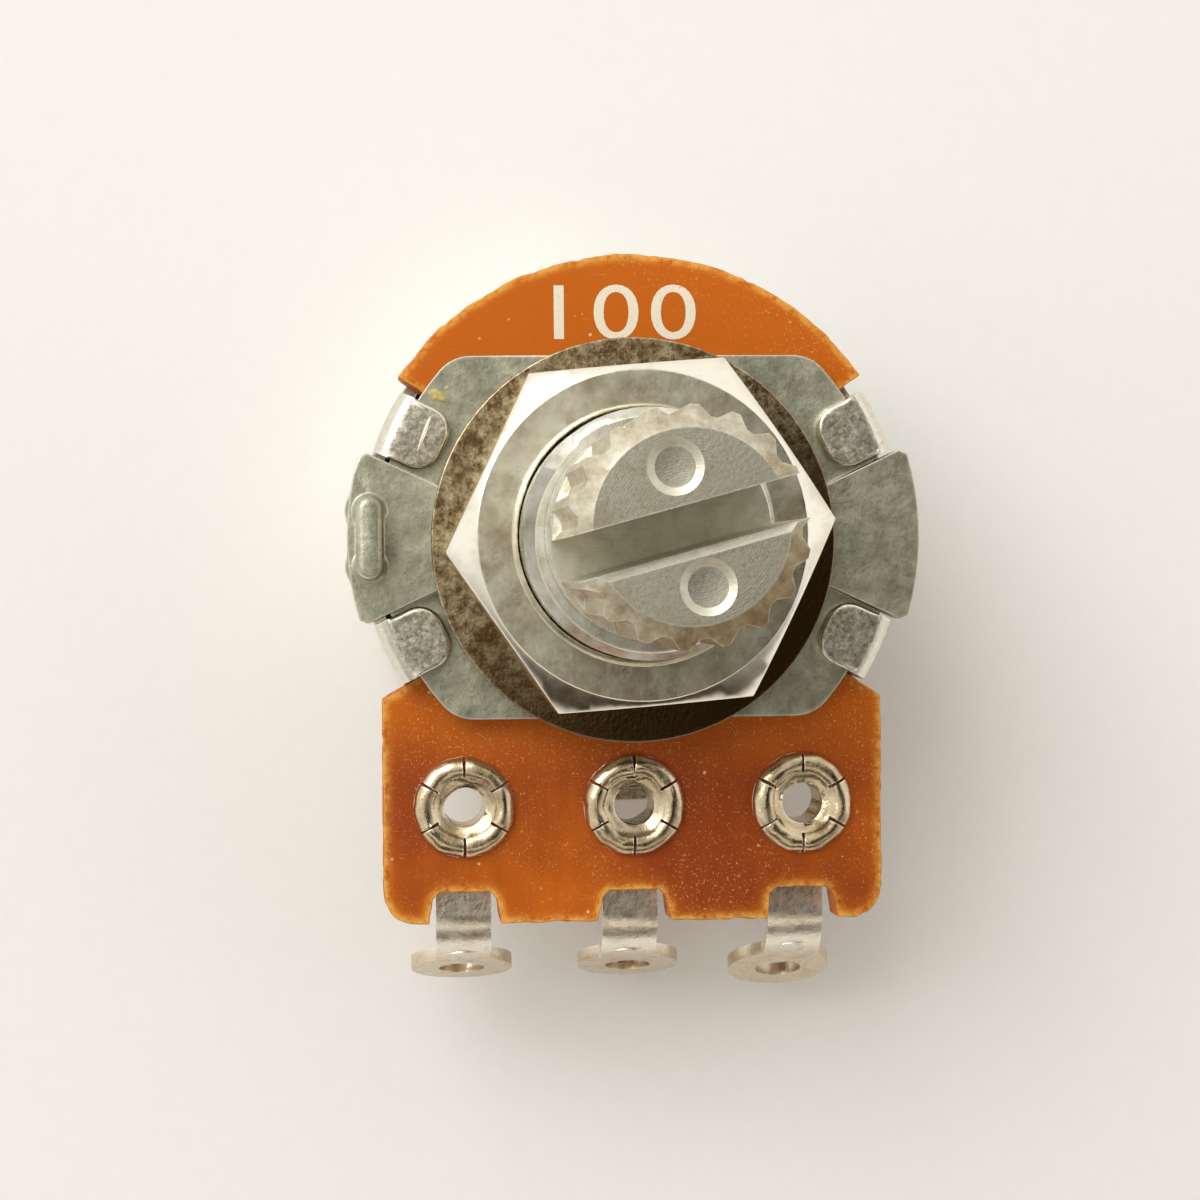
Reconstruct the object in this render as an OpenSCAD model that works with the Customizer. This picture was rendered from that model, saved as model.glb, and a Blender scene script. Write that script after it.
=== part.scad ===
// Rotary potentiometer, single gang, 16 mm class, with an M7 bushing and a knurled split shaft.
// Millimetres. The origin is on the shaft axis at the face of the plate that meets the panel.
// +Z runs along the shaft to its tip, and the three solder lugs are on the -Y side.

/* [Bushing and plate] */
// Major diameter of the bushing thread
bushing_d = 7; // [6.5:0.1:8]
// Height of the bushing above the mounting face
bushing_h = 5; // [4.5:0.1:8]
// Chamfer at the bushing's mouth
bushing_chamfer = 0.26; // [0.1:0.02:0.4]
// Pitch of the bushing's thread
thread_pitch = 0.75; // [0.5:0.05:1]
// Depth of the thread
thread_depth = 0.36; // [0.2:0.02:0.4]
// Thickness of the plate at its wings
plate_t = 1.2; // [1:0.05:2]
// Half of the plate's height, where its round edge is cut flat
plate_half_h = 5.3; // [4.8:0.05:5.6]
// Radius of the corners between the flats and the round edge
plate_corner_r = 1.2; // [0.5:0.1:2]
// Radius of the two wings
wing_r = 8.36; // [8.3:0.02:9]
// Distance that the corners of the wings are cut back
wing_chamfer = 0.16; // [0.05:0.01:0.3]
// Radius of the raised seat under the washer
seat_r = 5.6; // [4.5:0.05:5.8]
// Width of the locating lug
lug_w = 0.8; // [0.6:0.05:1.1]
// Length of the locating lug
lug_len = 2.4; // [1.5:0.1:3]
// Height of the locating lug above the mounting face
lug_h = 1.3; // [0.8:0.1:2]
// Distance of the locating lug from the axis
lug_x = 7.7; // [7.3:0.05:7.85]

/* [Nut and washer] */
// Distance across the nut's flats
nut_af = 9.7; // [9:0.1:12]
// Thickness of the nut
nut_t = 2; // [1.5:0.1:2.3]
// Direction of the nut's first corner
nut_turn = 4.5; // [0:0.5:59.5]
// Radius of the flat ring on each face of the nut
nut_face_r = 4.69; // [4.3:0.01:4.8]
// Radius of the countersink at each end of the nut's bore
nut_sink_r = 3.72; // [3.6:0.01:4.1]
// Outside diameter of the flat washer
washer_d = 11.74; // [11:0.1:14]
// Thickness of the flat washer
washer_t = 0.5; // [0.3:0.05:0.8]
// Diametral clearance of the washer on the bushing
washer_play = 0.3; // [0.3:0.05:0.8]
// Sideways offset of the washer to the left
washer_dx = 0.08; // [0:0.01:0.08]
// Sideways offset of the washer downwards
washer_dy = 0.11; // [0:0.01:0.11]

/* [Shaft] */
// Diameter over the knurl's teeth
shaft_d = 6; // [5.6:0.1:6]
// Diameter of the smooth neck between the bushing and the knurl
neck_d = 5.9; // [5.5:0.05:5.95]
// Distance from the mounting face to the shaft's tip
shaft_tip = 15; // [12:0.5:30]
// Length of the knurl
knurl_len = 7; // [4:0.5:9]
// Number of knurl teeth
knurl_teeth = 18; // [12:1:36]
// Depth of the knurl
knurl_depth = 0.28; // [0.15:0.01:0.4]
// Diameter of the flat at the tip
tip_d = 4.8; // [4:0.1:5]
// Width of the split in the shaft
split_w = 1.1; // [0.6:0.1:1.4]
// Depth of the split from the tip
split_depth = 7.5; // [4:0.5:9]
// Width of the chamfer along one side of the split's mouth
split_chamfer = 0.2; // [0.05:0.01:0.3]
// Diameter of the two round dimples in the tip
mark_d = 1.4; // [0.8:0.1:1.4]
// Depth of the two round dimples
mark_depth = 0.1; // [0.05:0.01:0.2]
// Distance of the dimples from the middle of the split
mark_r = 1.5; // [1.45:0.05:1.55]
// Diameter of the journal inside the bushing
journal_d = 5; // [4:0.1:5.2]
// Width of the retaining ring and thrust washer outside the journal
ring_band = 0.7; // [0.5:0.05:0.8]
// Angle that the shaft is turned from the middle of its travel
shaft_turn = 15; // [-150:1:150]

/* [Wafer] */
// Thickness of the phenolic wafer
wafer_t = 1.5; // [1:0.1:2]
// Radius of the wafer's arched top
wafer_r = 8.35; // [8.2:0.05:9]
// Direction of the end of the arched top, above the X axis
arch_end = 34.7; // [33:0.1:45]
// Direction of the top edge of the square lower part, below the X axis
foot_start = 32.6; // [32.6:0.1:36]
// Half of the width of the lower part
foot_half_w = 7.4; // [7:0.05:8]
// Distance from the axis to the wafer's lower edge
foot_y = 11.35; // [10.8:0.05:13]
// Radius of the lower corners
foot_corner_r = 0.95; // [0.3:0.05:1.5]
// Width of each notch at its closed end
notch_w = 1.85; // [1.7:0.05:2.1]
// Width of each notch at the wafer's edge
notch_mouth = 2.1; // [2.1:0.02:2.6]
// Depth of each notch
notch_depth = 0.93; // [0.5:0.01:1.2]

/* [Terminals] */
// Distance between neighbouring terminals
pitch = 5; // [4.5:0.1:5]
// Distance from the axis to the eyelets
eyelet_y = 7.9; // [7.8:0.05:8.3]
// Inside diameter of the eyelet's tube
eyelet_bore = 1.2; // [0.8:0.1:1.4]
// Thickness of the eyelet's metal
eyelet_t = 0.2; // [0.15:0.01:0.25]
// Diameter of the eyelet's flare
flare_d = 3; // [2.5:0.1:3.2]
// Number of petals that the flare splits into
petals = 6; // [4:1:8]
// Width of the splits between the petals at the flare's rim
petal_gap = 0.08; // [0.06:0.02:0.3]
// Diameter of the eyelet's head behind the terminal
head_d = 2.3; // [2:0.1:2.5]
// Thickness of the terminal strip
strip_t = 0.4; // [0.3:0.05:0.5]
// Width of the terminal strip
strip_w = 1.65; // [1.2:0.05:1.7]
// Radius of the strip's pad around the eyelet
pad_r = 1.4; // [1.3:0.05:1.6]
// Distance from the axis to the start of the strip's bend
bend_y = 11.25; // [10.5:0.05:12]
// Inside radius of the strip's bend
bend_r = 1; // [0.4:0.05:1.2]
// Distance from the bend to the middle of the solder ring
ring_reach = 1.95; // [1.8:0.05:5]
// Outside diameter of the solder ring
ring_d = 3.1; // [2.6:0.1:3.4]
// Diameter of the solder hole
ring_hole_d = 1.4; // [1:0.1:1.6]
// Angle that the left lug is bent through
bend_angle_left = 71.5; // [60:0.5:90]
// Angle that the middle lug is bent through
bend_angle_middle = 71.5; // [60:0.5:90]
// Angle that the right lug is bent through
bend_angle_right = 64.5; // [60:0.5:90]
// Angle that the left lug leans to the right, seen from behind the bend
lean_angle_left = 0.5; // [-6:0.5:6]
// Angle that the middle lug leans
lean_angle_middle = 5.5; // [-6:0.5:6]
// Angle that the right lug leans
lean_angle_right = -7; // [-12:0.5:6]

/* [Rear cover] */
// Outside radius of the cover
cover_r = 8; // [7.9:0.05:8.15]
// Thickness of the cover's sheet
cover_t = 0.4; // [0.3:0.05:0.4]
// Distance from the mounting face to the back of the cover
cover_back = 8.9; // [8.7:0.1:14]
// Outside radius of the cover's rear corner
cover_corner_r = 0.9; // [0.5:0.1:1.5]
// Direction of each tab from the X axis
tab_angle = 25.2; // [24:0.1:26]
// Width of the tabs
tab_w = 1.9; // [1.4:0.1:1.9]
// Thickness of the tabs, which fills the recess in the plate
tab_t = 0.45; // [0.35:0.05:0.6]
// Radius of the inner ends of the tabs
tab_end_r = 6.1; // [5.9:0.05:6.6]
// Radius of the corners at the ends of the tabs
tab_corner_r = 0.75; // [0.2:0.05:0.9]
// Half of the width of the window behind the terminals
window_half_w = 6.3; // [6.1:0.1:6.4]
// Height of the window behind the terminals
window_h = 1.6; // [1.2:0.1:2]
// Width of the dent that stops the rotor
dent_w = 2.4; // [1.6:0.1:3]
// Depth of the dent that stops the rotor
dent_depth = 0.85; // [0.7:0.05:0.9]

/* [Rotor and wiper] */
// Thickness of the rotor disc
rotor_t = 1.6; // [1.2:0.1:2]
// Gap between the wafer and the rotor disc
rotor_gap = 1.3; // [1.2:0.05:1.6]
// Radius of the rotor's front hub
hub_r = 2.6; // [2.5:0.05:2.65]
// Length of the rotor's rear hub
rear_hub_len = 1.5; // [1:0.1:2]
// Travel of the shaft from stop to stop
travel = 300; // [260:5:300]
// Thickness of the wiper's spring sheet
wiper_t = 0.2; // [0.1:0.05:0.25]
// Width of the wiper's two fingers
finger_w = 0.7; // [0.5:0.05:0.8]
// Length of the wiper's two fingers
finger_len = 2.4; // [2:0.1:2.6]

/* [Tracks] */
// Distance of the resistive track's middle inside the edge of the rotor
track_inset = 0.6; // [0.55:0.05:0.65]
// Width of the resistive track
track_w = 1.3; // [1:0.05:1.4]
// Width of the collector ring
collector_w = 0.75; // [0.6:0.05:0.85]
// Width of board between the wafer's hole and the collector ring
collector_edge = 0.15; // [0.1:0.05:0.25]
// Thickness of the printed tracks
print_t = 0.05; // [0.02:0.01:0.08]

/* [Fits] */
// Radial clearance of the shaft in the bushing
running = 0.03; // [0.02:0.005:0.06]
// Clearance between parts that are put together by hand
loose = 0.05; // [0.04:0.01:0.1]
// End play of the shaft
end_play = 0.1; // [0.05:0.01:0.2]
// Clearance of the plate and the wafer inside the tabs
tab_pass = 0.15; // [0.05:0.05:0.3]
// Clearance between the tabs and the wings beside them
tab_gap = 0.12; // [0.05:0.01:0.2]
// Clearance of the retaining ring in the wafer's hole
ring_pass = 0.3; // [0.15:0.05:0.4]
// Clearance of the rotor disc inside the dent
rotor_pass = 0.25; // [0.15:0.05:0.4]
// Clearance of the rotor's stop lug inside the cover
stop_pass = 0.35; // [0.2:0.05:0.5]

/* [Hidden] */
$fn = 96;
// Overshoot of a cutting tool past the face that it cuts
cut = 1;

// Levels along the axis, from the plate to the back
wafer_front = -plate_t;
wafer_back = wafer_front - wafer_t;
print_back = wafer_back - print_t;
strip_back = print_back - strip_t;
head_back = strip_back - eyelet_t;
rotor_front = wafer_back - rotor_gap;
rotor_back = rotor_front - rotor_t;
hub_back = rotor_back - rear_hub_len;
cover_floor = -cover_back + cover_t;

// Parts on the shaft behind the plate
thrust_t = 0.25;
ring_t = 0.4;
thrust_back = -plate_t - thrust_t - loose;
groove_front = thrust_back - loose;
groove_w = ring_t + loose;
groove_r = journal_d / 2 - 0.5;
ring_outer_r = journal_d / 2 + ring_band;
wafer_hole_r = ring_outer_r + ring_pass;
shoulder_z = groove_front - groove_w - 0.3;
seat_shaft_r = journal_d / 2 - 0.5;
seat_flat = seat_shaft_r - 0.4;
rivet_r = seat_shaft_r + 0.35;
rivet_t = 0.4;

// Plate and wafer, which pass inside the cover's tabs
cover_inner_r = cover_r - cover_t;
plate_r = cover_inner_r - tab_pass;
waist_r = cover_inner_r - tab_pass;
recess = tab_t;
wing_edge = tab_w / 2 + tab_gap;
lug_foot = 0.12;

// Terminals
tube_r = eyelet_bore / 2 + eyelet_t;
roll_r = (flare_d / 2 - tube_r) / 2;
roll_mid = (flare_d / 2 + tube_r) / 2;
petal_root = 0.08;

// Rotor stop: the dent's half angle and the lug's half angle share what the travel leaves
dent_inner_r = cover_inner_r - dent_depth;
rotor_r = dent_inner_r - rotor_pass;
stop_r = cover_inner_r - stop_pass;
dent_inner_half_w = dent_w / 2 + cover_t;
dent_half_angle = asin(dent_inner_half_w / dent_inner_r);
stop_margin = 0.6;
stop_half_angle = (360 - travel) / 2 - dent_half_angle - stop_margin;
stop_back = rotor_back;
dent_top = rotor_front - 0.6;
track_r = rotor_r - track_inset;
track_overrun = 2;
pad_span = 9;
collector_r = wafer_hole_r + collector_edge + collector_w / 2;

// Wiper: two fingers that spring forward from a plate on the rotor
stake_r = 3.15;
stake_d = 0.6;
stake_t = 0.15;
wiper_front = rotor_front + wiper_t;
finger_rise = print_back - wiper_front;
contact_r = 0.3;
finger_slope = asin((finger_rise - contact_r) / finger_len);

// A flat ring segment: inner radius r0, outer radius r1, from direction a0 to a1
module sector(r0, r1, a0, a1) {
    reach = r1 * 2;
    steps = ceil((a1 - a0) / 60);
    intersection() {
        difference() {
            circle(r1);
            if (r0 > 0) circle(r0);
        }
        polygon(concat([[0, 0]], [
            for (i = [0 : steps])
                let (a = a0 + (a1 - a0) * i / steps)
                [reach * cos(a), reach * sin(a)]
        ]));
    }
}

// A rectangle with its two left corners rounded
module nosed_bar(x0, x1, w, r) {
    translate([x0 + r, -w / 2]) square([x1 - x0 - r, w]);
    translate([x0, -w / 2 + r]) square([r * 1.5, w - 2 * r]);
    for (side = [-1, 1]) translate([x0 + r, side * (w / 2 - r)]) circle(r);
}

module at_tabs() {
    for (a = [tab_angle, 180 - tab_angle, 180 + tab_angle, 360 - tab_angle]) rotate(a) children();
}

// ---- Plate with the bushing ----

// The round plate with flats above and below, and rounded corners between them
module plate_round() {
    corner_y = plate_half_h - plate_corner_r;
    corner_x = sqrt(pow(plate_r - plate_corner_r, 2) - pow(corner_y, 2));
    corner_angle = atan2(corner_y, corner_x);
    difference() {
        intersection() {
            circle(plate_r);
            square([2 * plate_r, 2 * plate_half_h], center = true);
        }
        for (mx = [0, 1], my = [0, 1]) mirror([mx, 0]) mirror([0, my])
            translate([corner_x, corner_y]) polygon([
                plate_corner_r * [0, 1],
                [0, plate_r],
                [plate_r, plate_r],
                plate_corner_r * 3 * [cos(corner_angle), sin(corner_angle)],
                plate_corner_r * [cos(corner_angle), sin(corner_angle)]
            ]);
    }
    for (mx = [-1, 1], my = [-1, 1]) translate([mx * corner_x, my * corner_y]) circle(plate_corner_r);
}

// Everything on the near side of a straight cut, which stands across a direction at a distance
module corner_limit(direction, distance) {
    rotate(direction) translate([-2 * wing_r, -2 * wing_r]) square([2 * wing_r + distance, 4 * wing_r]);
}

// One wing, between two edges that run beside the tabs
module wing() {
    nose = wing_edge / sin(tab_angle);
    far = wing_r * 1.2;
    edge_y = (far - nose) * tan(tab_angle);
    corner_angle = tab_angle - asin(wing_edge / wing_r);
    bisector = (corner_angle + tab_angle + 90) / 2;
    reach = wing_r * cos(bisector - corner_angle) - wing_chamfer;
    intersection() {
        circle(wing_r);
        polygon([[nose, 0], [far, edge_y], [far, -edge_y]]);
        corner_limit(bisector, reach);
        mirror([0, 1]) corner_limit(bisector, reach);
    }
}

module wings() {
    wing();
    mirror([1, 0]) wing();
}

module locating_lug() {
    straight = lug_len - lug_w;
    translate([-lug_x, 0, -recess / 2]) {
        for (side = [-1, 1]) translate([0, side * straight / 2, 0]) {
            cylinder(d = lug_w, h = lug_h + recess / 2);
            cylinder(r1 = lug_w / 2 + lug_foot + recess / 2, r2 = lug_w / 2, h = recess / 2 + lug_foot);
        }
        translate([-lug_w / 2, -straight / 2, 0]) cube([lug_w, straight, lug_h + recess / 2]);
    }
}

// Half of the bushing's section. The thread is cut as plain grooves, one for each turn.
module bushing_section() {
    r = bushing_d / 2;
    foot = thread_pitch;
    crest = thread_pitch / 8;
    turns = floor((bushing_h - bushing_chamfer - foot) / thread_pitch);
    groove = [[0, crest / 2], [thread_depth, thread_pitch / 2], [0, thread_pitch - crest / 2]];
    polygon(concat(
        [[0, -recess], [r, -recess]],
        [
            for (i = [0 : turns - 1], p = groove) [r - p[0], foot + i * thread_pitch + p[1]]
        ],
        [[r, bushing_h - bushing_chamfer], [r - bushing_chamfer, bushing_h], [0, bushing_h]]
    ));
}

module front_plate() {
    color([0.51, 0.54, 0.5]) difference() {
        union() {
            translate([0, 0, -plate_t]) linear_extrude(plate_t - recess) plate_round();
            translate([0, 0, -plate_t]) linear_extrude(plate_t) wings();
            translate([0, 0, -plate_t]) cylinder(r = seat_r, h = plate_t);
            rotate_extrude() bushing_section();
            locating_lug();
        }
        translate([0, 0, -plate_t - cut])
            cylinder(r = journal_d / 2 + running, h = plate_t + bushing_h + 2 * cut);
    }
}

// ---- Nut and washer ----

module hex_nut() {
    corner_r = nut_af / 2 / cos(30);
    bevel_r = corner_r + 0.3;
    bevel = (bevel_r - nut_face_r) * tan(30);
    bore_r = bushing_d / 2 + running;
    sink = nut_sink_r - bore_r;
    color([0.5, 0.49, 0.45]) translate([0, 0, washer_t]) difference() {
        intersection() {
            rotate(nut_turn) cylinder(r = corner_r, h = nut_t, $fn = 6);
            rotate_extrude() polygon([
                [0, 0], [nut_face_r, 0], [bevel_r, bevel],
                [bevel_r, nut_t - bevel], [nut_face_r, nut_t], [0, nut_t]
            ]);
        }
        translate([0, 0, -cut]) cylinder(r = bore_r, h = nut_t + 2 * cut);
        translate([0, 0, nut_t - sink]) cylinder(r1 = bore_r, r2 = nut_sink_r + sink, h = 2 * sink);
        translate([0, 0, -sink]) cylinder(r1 = nut_sink_r + sink, r2 = bore_r, h = 2 * sink);
    }
}

module flat_washer() {
    color([0.2, 0.13, 0.08]) translate([-washer_dx, -washer_dy, 0]) difference() {
        cylinder(d = washer_d, h = washer_t);
        translate([0, 0, -cut]) cylinder(d = bushing_d + washer_play, h = washer_t + 2 * cut);
    }
}

// ---- Wafer and tracks ----

module at_terminals() {
    for (i = [-1 : 1]) translate([i * pitch, 0]) children();
}

// The square lower part, laid out from the middle, without its rounded corners
module wafer_foot() {
    inset = foot_half_w - foot_corner_r;
    top_y = -foot_half_w * tan(foot_start);
    polygon([
        [0, 0], [foot_half_w, top_y], [foot_half_w, -foot_y + foot_corner_r], [inset, -foot_y],
        [-inset, -foot_y], [-foot_half_w, -foot_y + foot_corner_r], [-foot_half_w, top_y]
    ]);
}

module wafer_slab() {
    translate([0, 0, wafer_back]) linear_extrude(wafer_t) children();
}

module wafer() {
    notch_top = -foot_y + notch_depth;
    notch_corner = 0.2;
    notch_side = notch_top - notch_corner;
    color([0.74, 0.36, 0.09]) difference() {
        union() {
            wafer_slab() circle(waist_r);
            wafer_slab() sector(0, wafer_r, arch_end, 180 - arch_end);
            wafer_slab() wafer_foot();
            for (side = [-1, 1]) translate([side * (foot_half_w - foot_corner_r), -foot_y + foot_corner_r])
                wafer_slab() circle(foot_corner_r);
        }
        translate([0, 0, wafer_back - cut]) linear_extrude(wafer_t + 2 * cut) {
            circle(wafer_hole_r);
            at_terminals() translate([0, -eyelet_y]) circle(tube_r + loose);
            at_terminals() polygon([
                [-notch_w / 2, notch_side], [-notch_w / 2 + notch_corner, notch_top],
                [notch_w / 2 - notch_corner, notch_top], [notch_w / 2, notch_side],
                [notch_mouth / 2, -foot_y], [notch_mouth / 2, -foot_y - cut],
                [-notch_mouth / 2, -foot_y - cut], [-notch_mouth / 2, -foot_y]
            ]);
        }
    }
}

// Half of the angle that the resistive track covers, a little past the stops
function track_half() = travel / 2 + track_overrun;

module printed(colour) {
    color(colour) translate([0, 0, print_back]) linear_extrude(print_t) children();
}

module resistive_track() {
    printed([0.09, 0.09, 0.09])
        sector(track_r - track_w / 2, track_r + track_w / 2, 90 - track_half(), 90 + track_half());
}

module collector_ring() {
    printed([0.72, 0.72, 0.7]) difference() {
        union() {
            circle(collector_r + collector_w / 2);
            translate([-collector_w / 2, -eyelet_y]) square([collector_w, eyelet_y]);
            translate([0, -eyelet_y]) circle(pad_r);
        }
        circle(collector_r - collector_w / 2);
        translate([0, -eyelet_y]) circle(tube_r + loose);
    }
}

// The silver pad that joins one end of the resistive track to its terminal
module end_pad(side) {
    start = track_half();
    end = start + pad_span;
    mid = 90 - (start + end) / 2;
    foot = [pitch, -eyelet_y];
    head = track_r * [cos(mid), sin(mid)];
    run = foot - head;
    printed([0.72, 0.72, 0.7]) mirror([side < 0 ? 1 : 0, 0]) difference() {
        union() {
            sector(track_r - track_w / 2, track_r + track_w / 2, 90 - end, 90 - start);
            difference() {
                translate(head) rotate(atan2(run[1], run[0]))
                    translate([0, -collector_w / 2]) square([norm(run), collector_w]);
                sector(0, track_r + track_w / 2 + 0.4, 90 - start, 90);
            }
            translate(foot) circle(pad_r);
        }
        translate(foot) circle(tube_r + loose);
    }
}

module end_pad_left() {
    end_pad(-1);
}

module end_pad_right() {
    end_pad(1);
}

// ---- Terminals and eyelets ----

// A flat strip with a pad, a bend towards the back and a ring to solder to
module terminal(x, bend, lean) {
    color([0.78, 0.74, 0.66]) translate([x, 0, strip_back]) {
        linear_extrude(strip_t) difference() {
            union() {
                translate([0, -eyelet_y]) circle(pad_r);
                translate([-strip_w / 2, -bend_y]) square([strip_w, bend_y - eyelet_y]);
            }
            translate([0, -eyelet_y]) circle(tube_r + loose);
        }
        translate([-strip_w / 2, -bend_y, -bend_r]) rotate([90, 0, 90])
            rotate([0, 0, 90]) rotate_extrude(angle = bend)
                translate([bend_r, 0]) square([strip_t, strip_w]);
        translate([0, -bend_y, -bend_r]) rotate([bend, 0, 0])
            translate([0, 0, bend_r]) linear_extrude(strip_t) leg(lean);
    }
}

// The strip beyond the bend, laid flat, with its ring leaning a little to one side
module leg(lean) {
    shoulder = ring_reach - ring_d / 2;
    difference() {
        union() {
            translate([-strip_w / 2, -shoulder]) square([strip_w, shoulder]);
            translate([0, -shoulder]) rotate(lean) {
                translate([0, shoulder - ring_reach]) circle(d = ring_d);
                translate([-strip_w / 2, shoulder - ring_reach]) square([strip_w, ring_reach - shoulder]);
            }
            translate([0, -shoulder]) circle(d = strip_w - 0.06);
        }
        translate([0, -shoulder]) rotate(lean) translate([0, shoulder - ring_reach]) circle(d = ring_hole_d);
    }
}

module terminal_left() {
    terminal(-pitch, bend_angle_left, lean_angle_left);
}

module terminal_middle() {
    terminal(0, bend_angle_middle, lean_angle_middle);
}

module terminal_right() {
    terminal(pitch, bend_angle_right, lean_angle_right);
}

// A tube with a head behind the terminal and a flare that splits into petals in front of the wafer
module eyelet(x) {
    bore_r = eyelet_bore / 2;
    color([0.8, 0.76, 0.68]) translate([x, -eyelet_y, 0]) difference() {
        union() {
            rotate_extrude() polygon([
                [bore_r, head_back], [head_d / 2, head_back], [head_d / 2, strip_back], [tube_r, strip_back],
                [tube_r, wafer_front], [roll_mid, wafer_front], [roll_mid, wafer_front + roll_r * 0.9],
                [bore_r, wafer_front + roll_r / 3]
            ]);
            translate([0, 0, wafer_front]) rotate_extrude() intersection() {
                translate([roll_mid, 0]) circle(roll_r);
                square(flare_d);
            }
        }
        for (i = [0 : petals - 1]) rotate(90 + i * 360 / petals)
            translate([tube_r + petal_root, -petal_gap / 2, wafer_front]) cube([flare_d, petal_gap, cut]);
    }
}

module eyelet_left() {
    eyelet(-pitch);
}

module eyelet_middle() {
    eyelet(0);
}

module eyelet_right() {
    eyelet(pitch);
}

// ---- Rear cover ----

// The cover's section: floor, wall and the fold that becomes the tabs
module cover_section() {
    fold_r = 0.12;
    outer_fold = tab_t + fold_r;
    difference() {
        translate([0, -cover_back]) square([cover_r, cover_back]);
        translate([-cut, cover_floor]) square([cover_inner_r + cut - fold_r, cover_back - cover_t - tab_t]);
        translate([-cut, cover_floor + cover_corner_r - cover_t])
            square([cover_inner_r + cut, cover_back - tab_t - fold_r - cover_corner_r]);
        translate([cover_inner_r - fold_r, -tab_t - fold_r]) circle(fold_r);
        translate([cover_r - outer_fold, -outer_fold]) difference() {
            square(outer_fold + cut);
            circle(outer_fold);
        }
        translate([cover_r - cover_corner_r, -cover_back + cover_corner_r]) difference() {
            translate([0, -cover_corner_r - cut]) square([cover_corner_r + cut, cover_corner_r + cut]);
            circle(cover_corner_r);
        }
    }
}

module rear_cover() {
    pocket_top = dent_top - cover_t;
    color([0.45, 0.44, 0.42]) difference() {
        union() {
            intersection() {
                rotate_extrude() cover_section();
                union() {
                    translate([0, 0, -cover_back - cut])
                        cylinder(r = cover_r + cut, h = cover_back + cut + wafer_back);
                    at_tabs() translate([0, 0, wafer_back - cut]) linear_extrude(cut + 1 - wafer_back)
                        nosed_bar(tab_end_r, cover_r + cut, tab_w, tab_corner_r);
                }
            }
            intersection() {
                translate([-dent_inner_half_w, 0, -cover_back + cover_corner_r])
                    cube([2 * dent_inner_half_w, cover_r, dent_top + cover_back - cover_corner_r]);
                translate([0, 0, -cover_back]) difference() {
                    cylinder(r = cover_r - cover_t / 2, h = cover_back);
                    translate([0, 0, -cut]) cylinder(r = dent_inner_r, h = cover_back + 2 * cut);
                }
            }
        }
        intersection() {
            translate([-dent_w / 2, 0, -cover_back + cover_corner_r + cover_t])
                cube([dent_w, cover_r + cut, pocket_top + cover_back - cover_corner_r - cover_t]);
            translate([0, 0, -cover_back]) difference() {
                cylinder(r = cover_r + cut, h = cover_back);
                translate([0, 0, -cut]) cylinder(r = dent_inner_r + cover_t, h = cover_back + 2 * cut);
            }
        }
        translate([-window_half_w, -cover_r - cut, wafer_back - window_h])
            cube([2 * window_half_w, cover_r + cut, window_h + cut / 2]);
    }
}

// ---- Shaft and its washers ----

// Knurl section: teeth with narrow flat crests and roots
module knurl_section() {
    crest_r = shaft_d / 2;
    root_r = crest_r - knurl_depth;
    step = 360 / knurl_teeth;
    polygon([
        for (i = [0 : knurl_teeth - 1], p = [[0.0, root_r], [0.22, root_r], [0.5, crest_r], [0.72, crest_r]])
            let (a = (i + p[0]) * step)
            p[1] * [cos(a), sin(a)]
    ]);
}

// The split seen along its length, with a chamfer on one side of its mouth
module split_section() {
    half_w = split_w / 2;
    polygon([
        [-half_w, shaft_tip - split_depth], [half_w, shaft_tip - split_depth],
        [half_w, shaft_tip + cut], [-half_w - split_chamfer - cut, shaft_tip + cut],
        [-half_w, shaft_tip - split_chamfer]
    ]);
}

module double_d(r, flat) {
    intersection() {
        circle(r);
        square([2 * r, 2 * flat], center = true);
    }
}

module shaft() {
    neck_z = bushing_h + end_play;
    knurl_z = shaft_tip - knurl_len;
    color([0.52, 0.53, 0.48]) rotate(shaft_turn) difference() {
        union() {
            translate([0, 0, neck_z]) cylinder(d = neck_d, h = knurl_z - neck_z + cut / 2);
            intersection() {
                translate([0, 0, knurl_z]) linear_extrude(knurl_len) knurl_section();
                rotate_extrude() polygon([
                    [0, knurl_z - cut], [shaft_d, knurl_z - cut], [shaft_d, shaft_tip + tip_d / 2 - shaft_d],
                    [tip_d / 2, shaft_tip], [0, shaft_tip]
                ]);
            }
            translate([0, 0, groove_front]) cylinder(d = journal_d, h = neck_z - groove_front);
            translate([0, 0, groove_front - groove_w]) cylinder(r = groove_r, h = groove_w);
            translate([0, 0, shoulder_z])
                cylinder(d = journal_d, h = groove_front - groove_w - shoulder_z);
            translate([0, 0, hub_back])
                linear_extrude(shoulder_z - hub_back) double_d(seat_shaft_r, seat_flat);
            translate([0, 0, hub_back - rivet_t]) cylinder(r1 = rivet_r - 0.2, r2 = rivet_r, h = rivet_t);
        }
        translate([-shaft_d, 0, 0]) rotate([90, 0, 90]) linear_extrude(2 * shaft_d) split_section();
        for (side = [-1, 1]) translate([0, side * mark_r, shaft_tip - mark_depth])
            cylinder(d1 = mark_d - 4 * mark_depth, d2 = mark_d + 4 * mark_depth, h = 2 * mark_depth);
    }
}

module thrust_washer() {
    color([0.85, 0.83, 0.75]) translate([0, 0, thrust_back]) difference() {
        cylinder(r = ring_outer_r, h = thrust_t);
        translate([0, 0, -cut]) cylinder(r = journal_d / 2 + loose, h = thrust_t + 2 * cut);
    }
}

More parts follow.
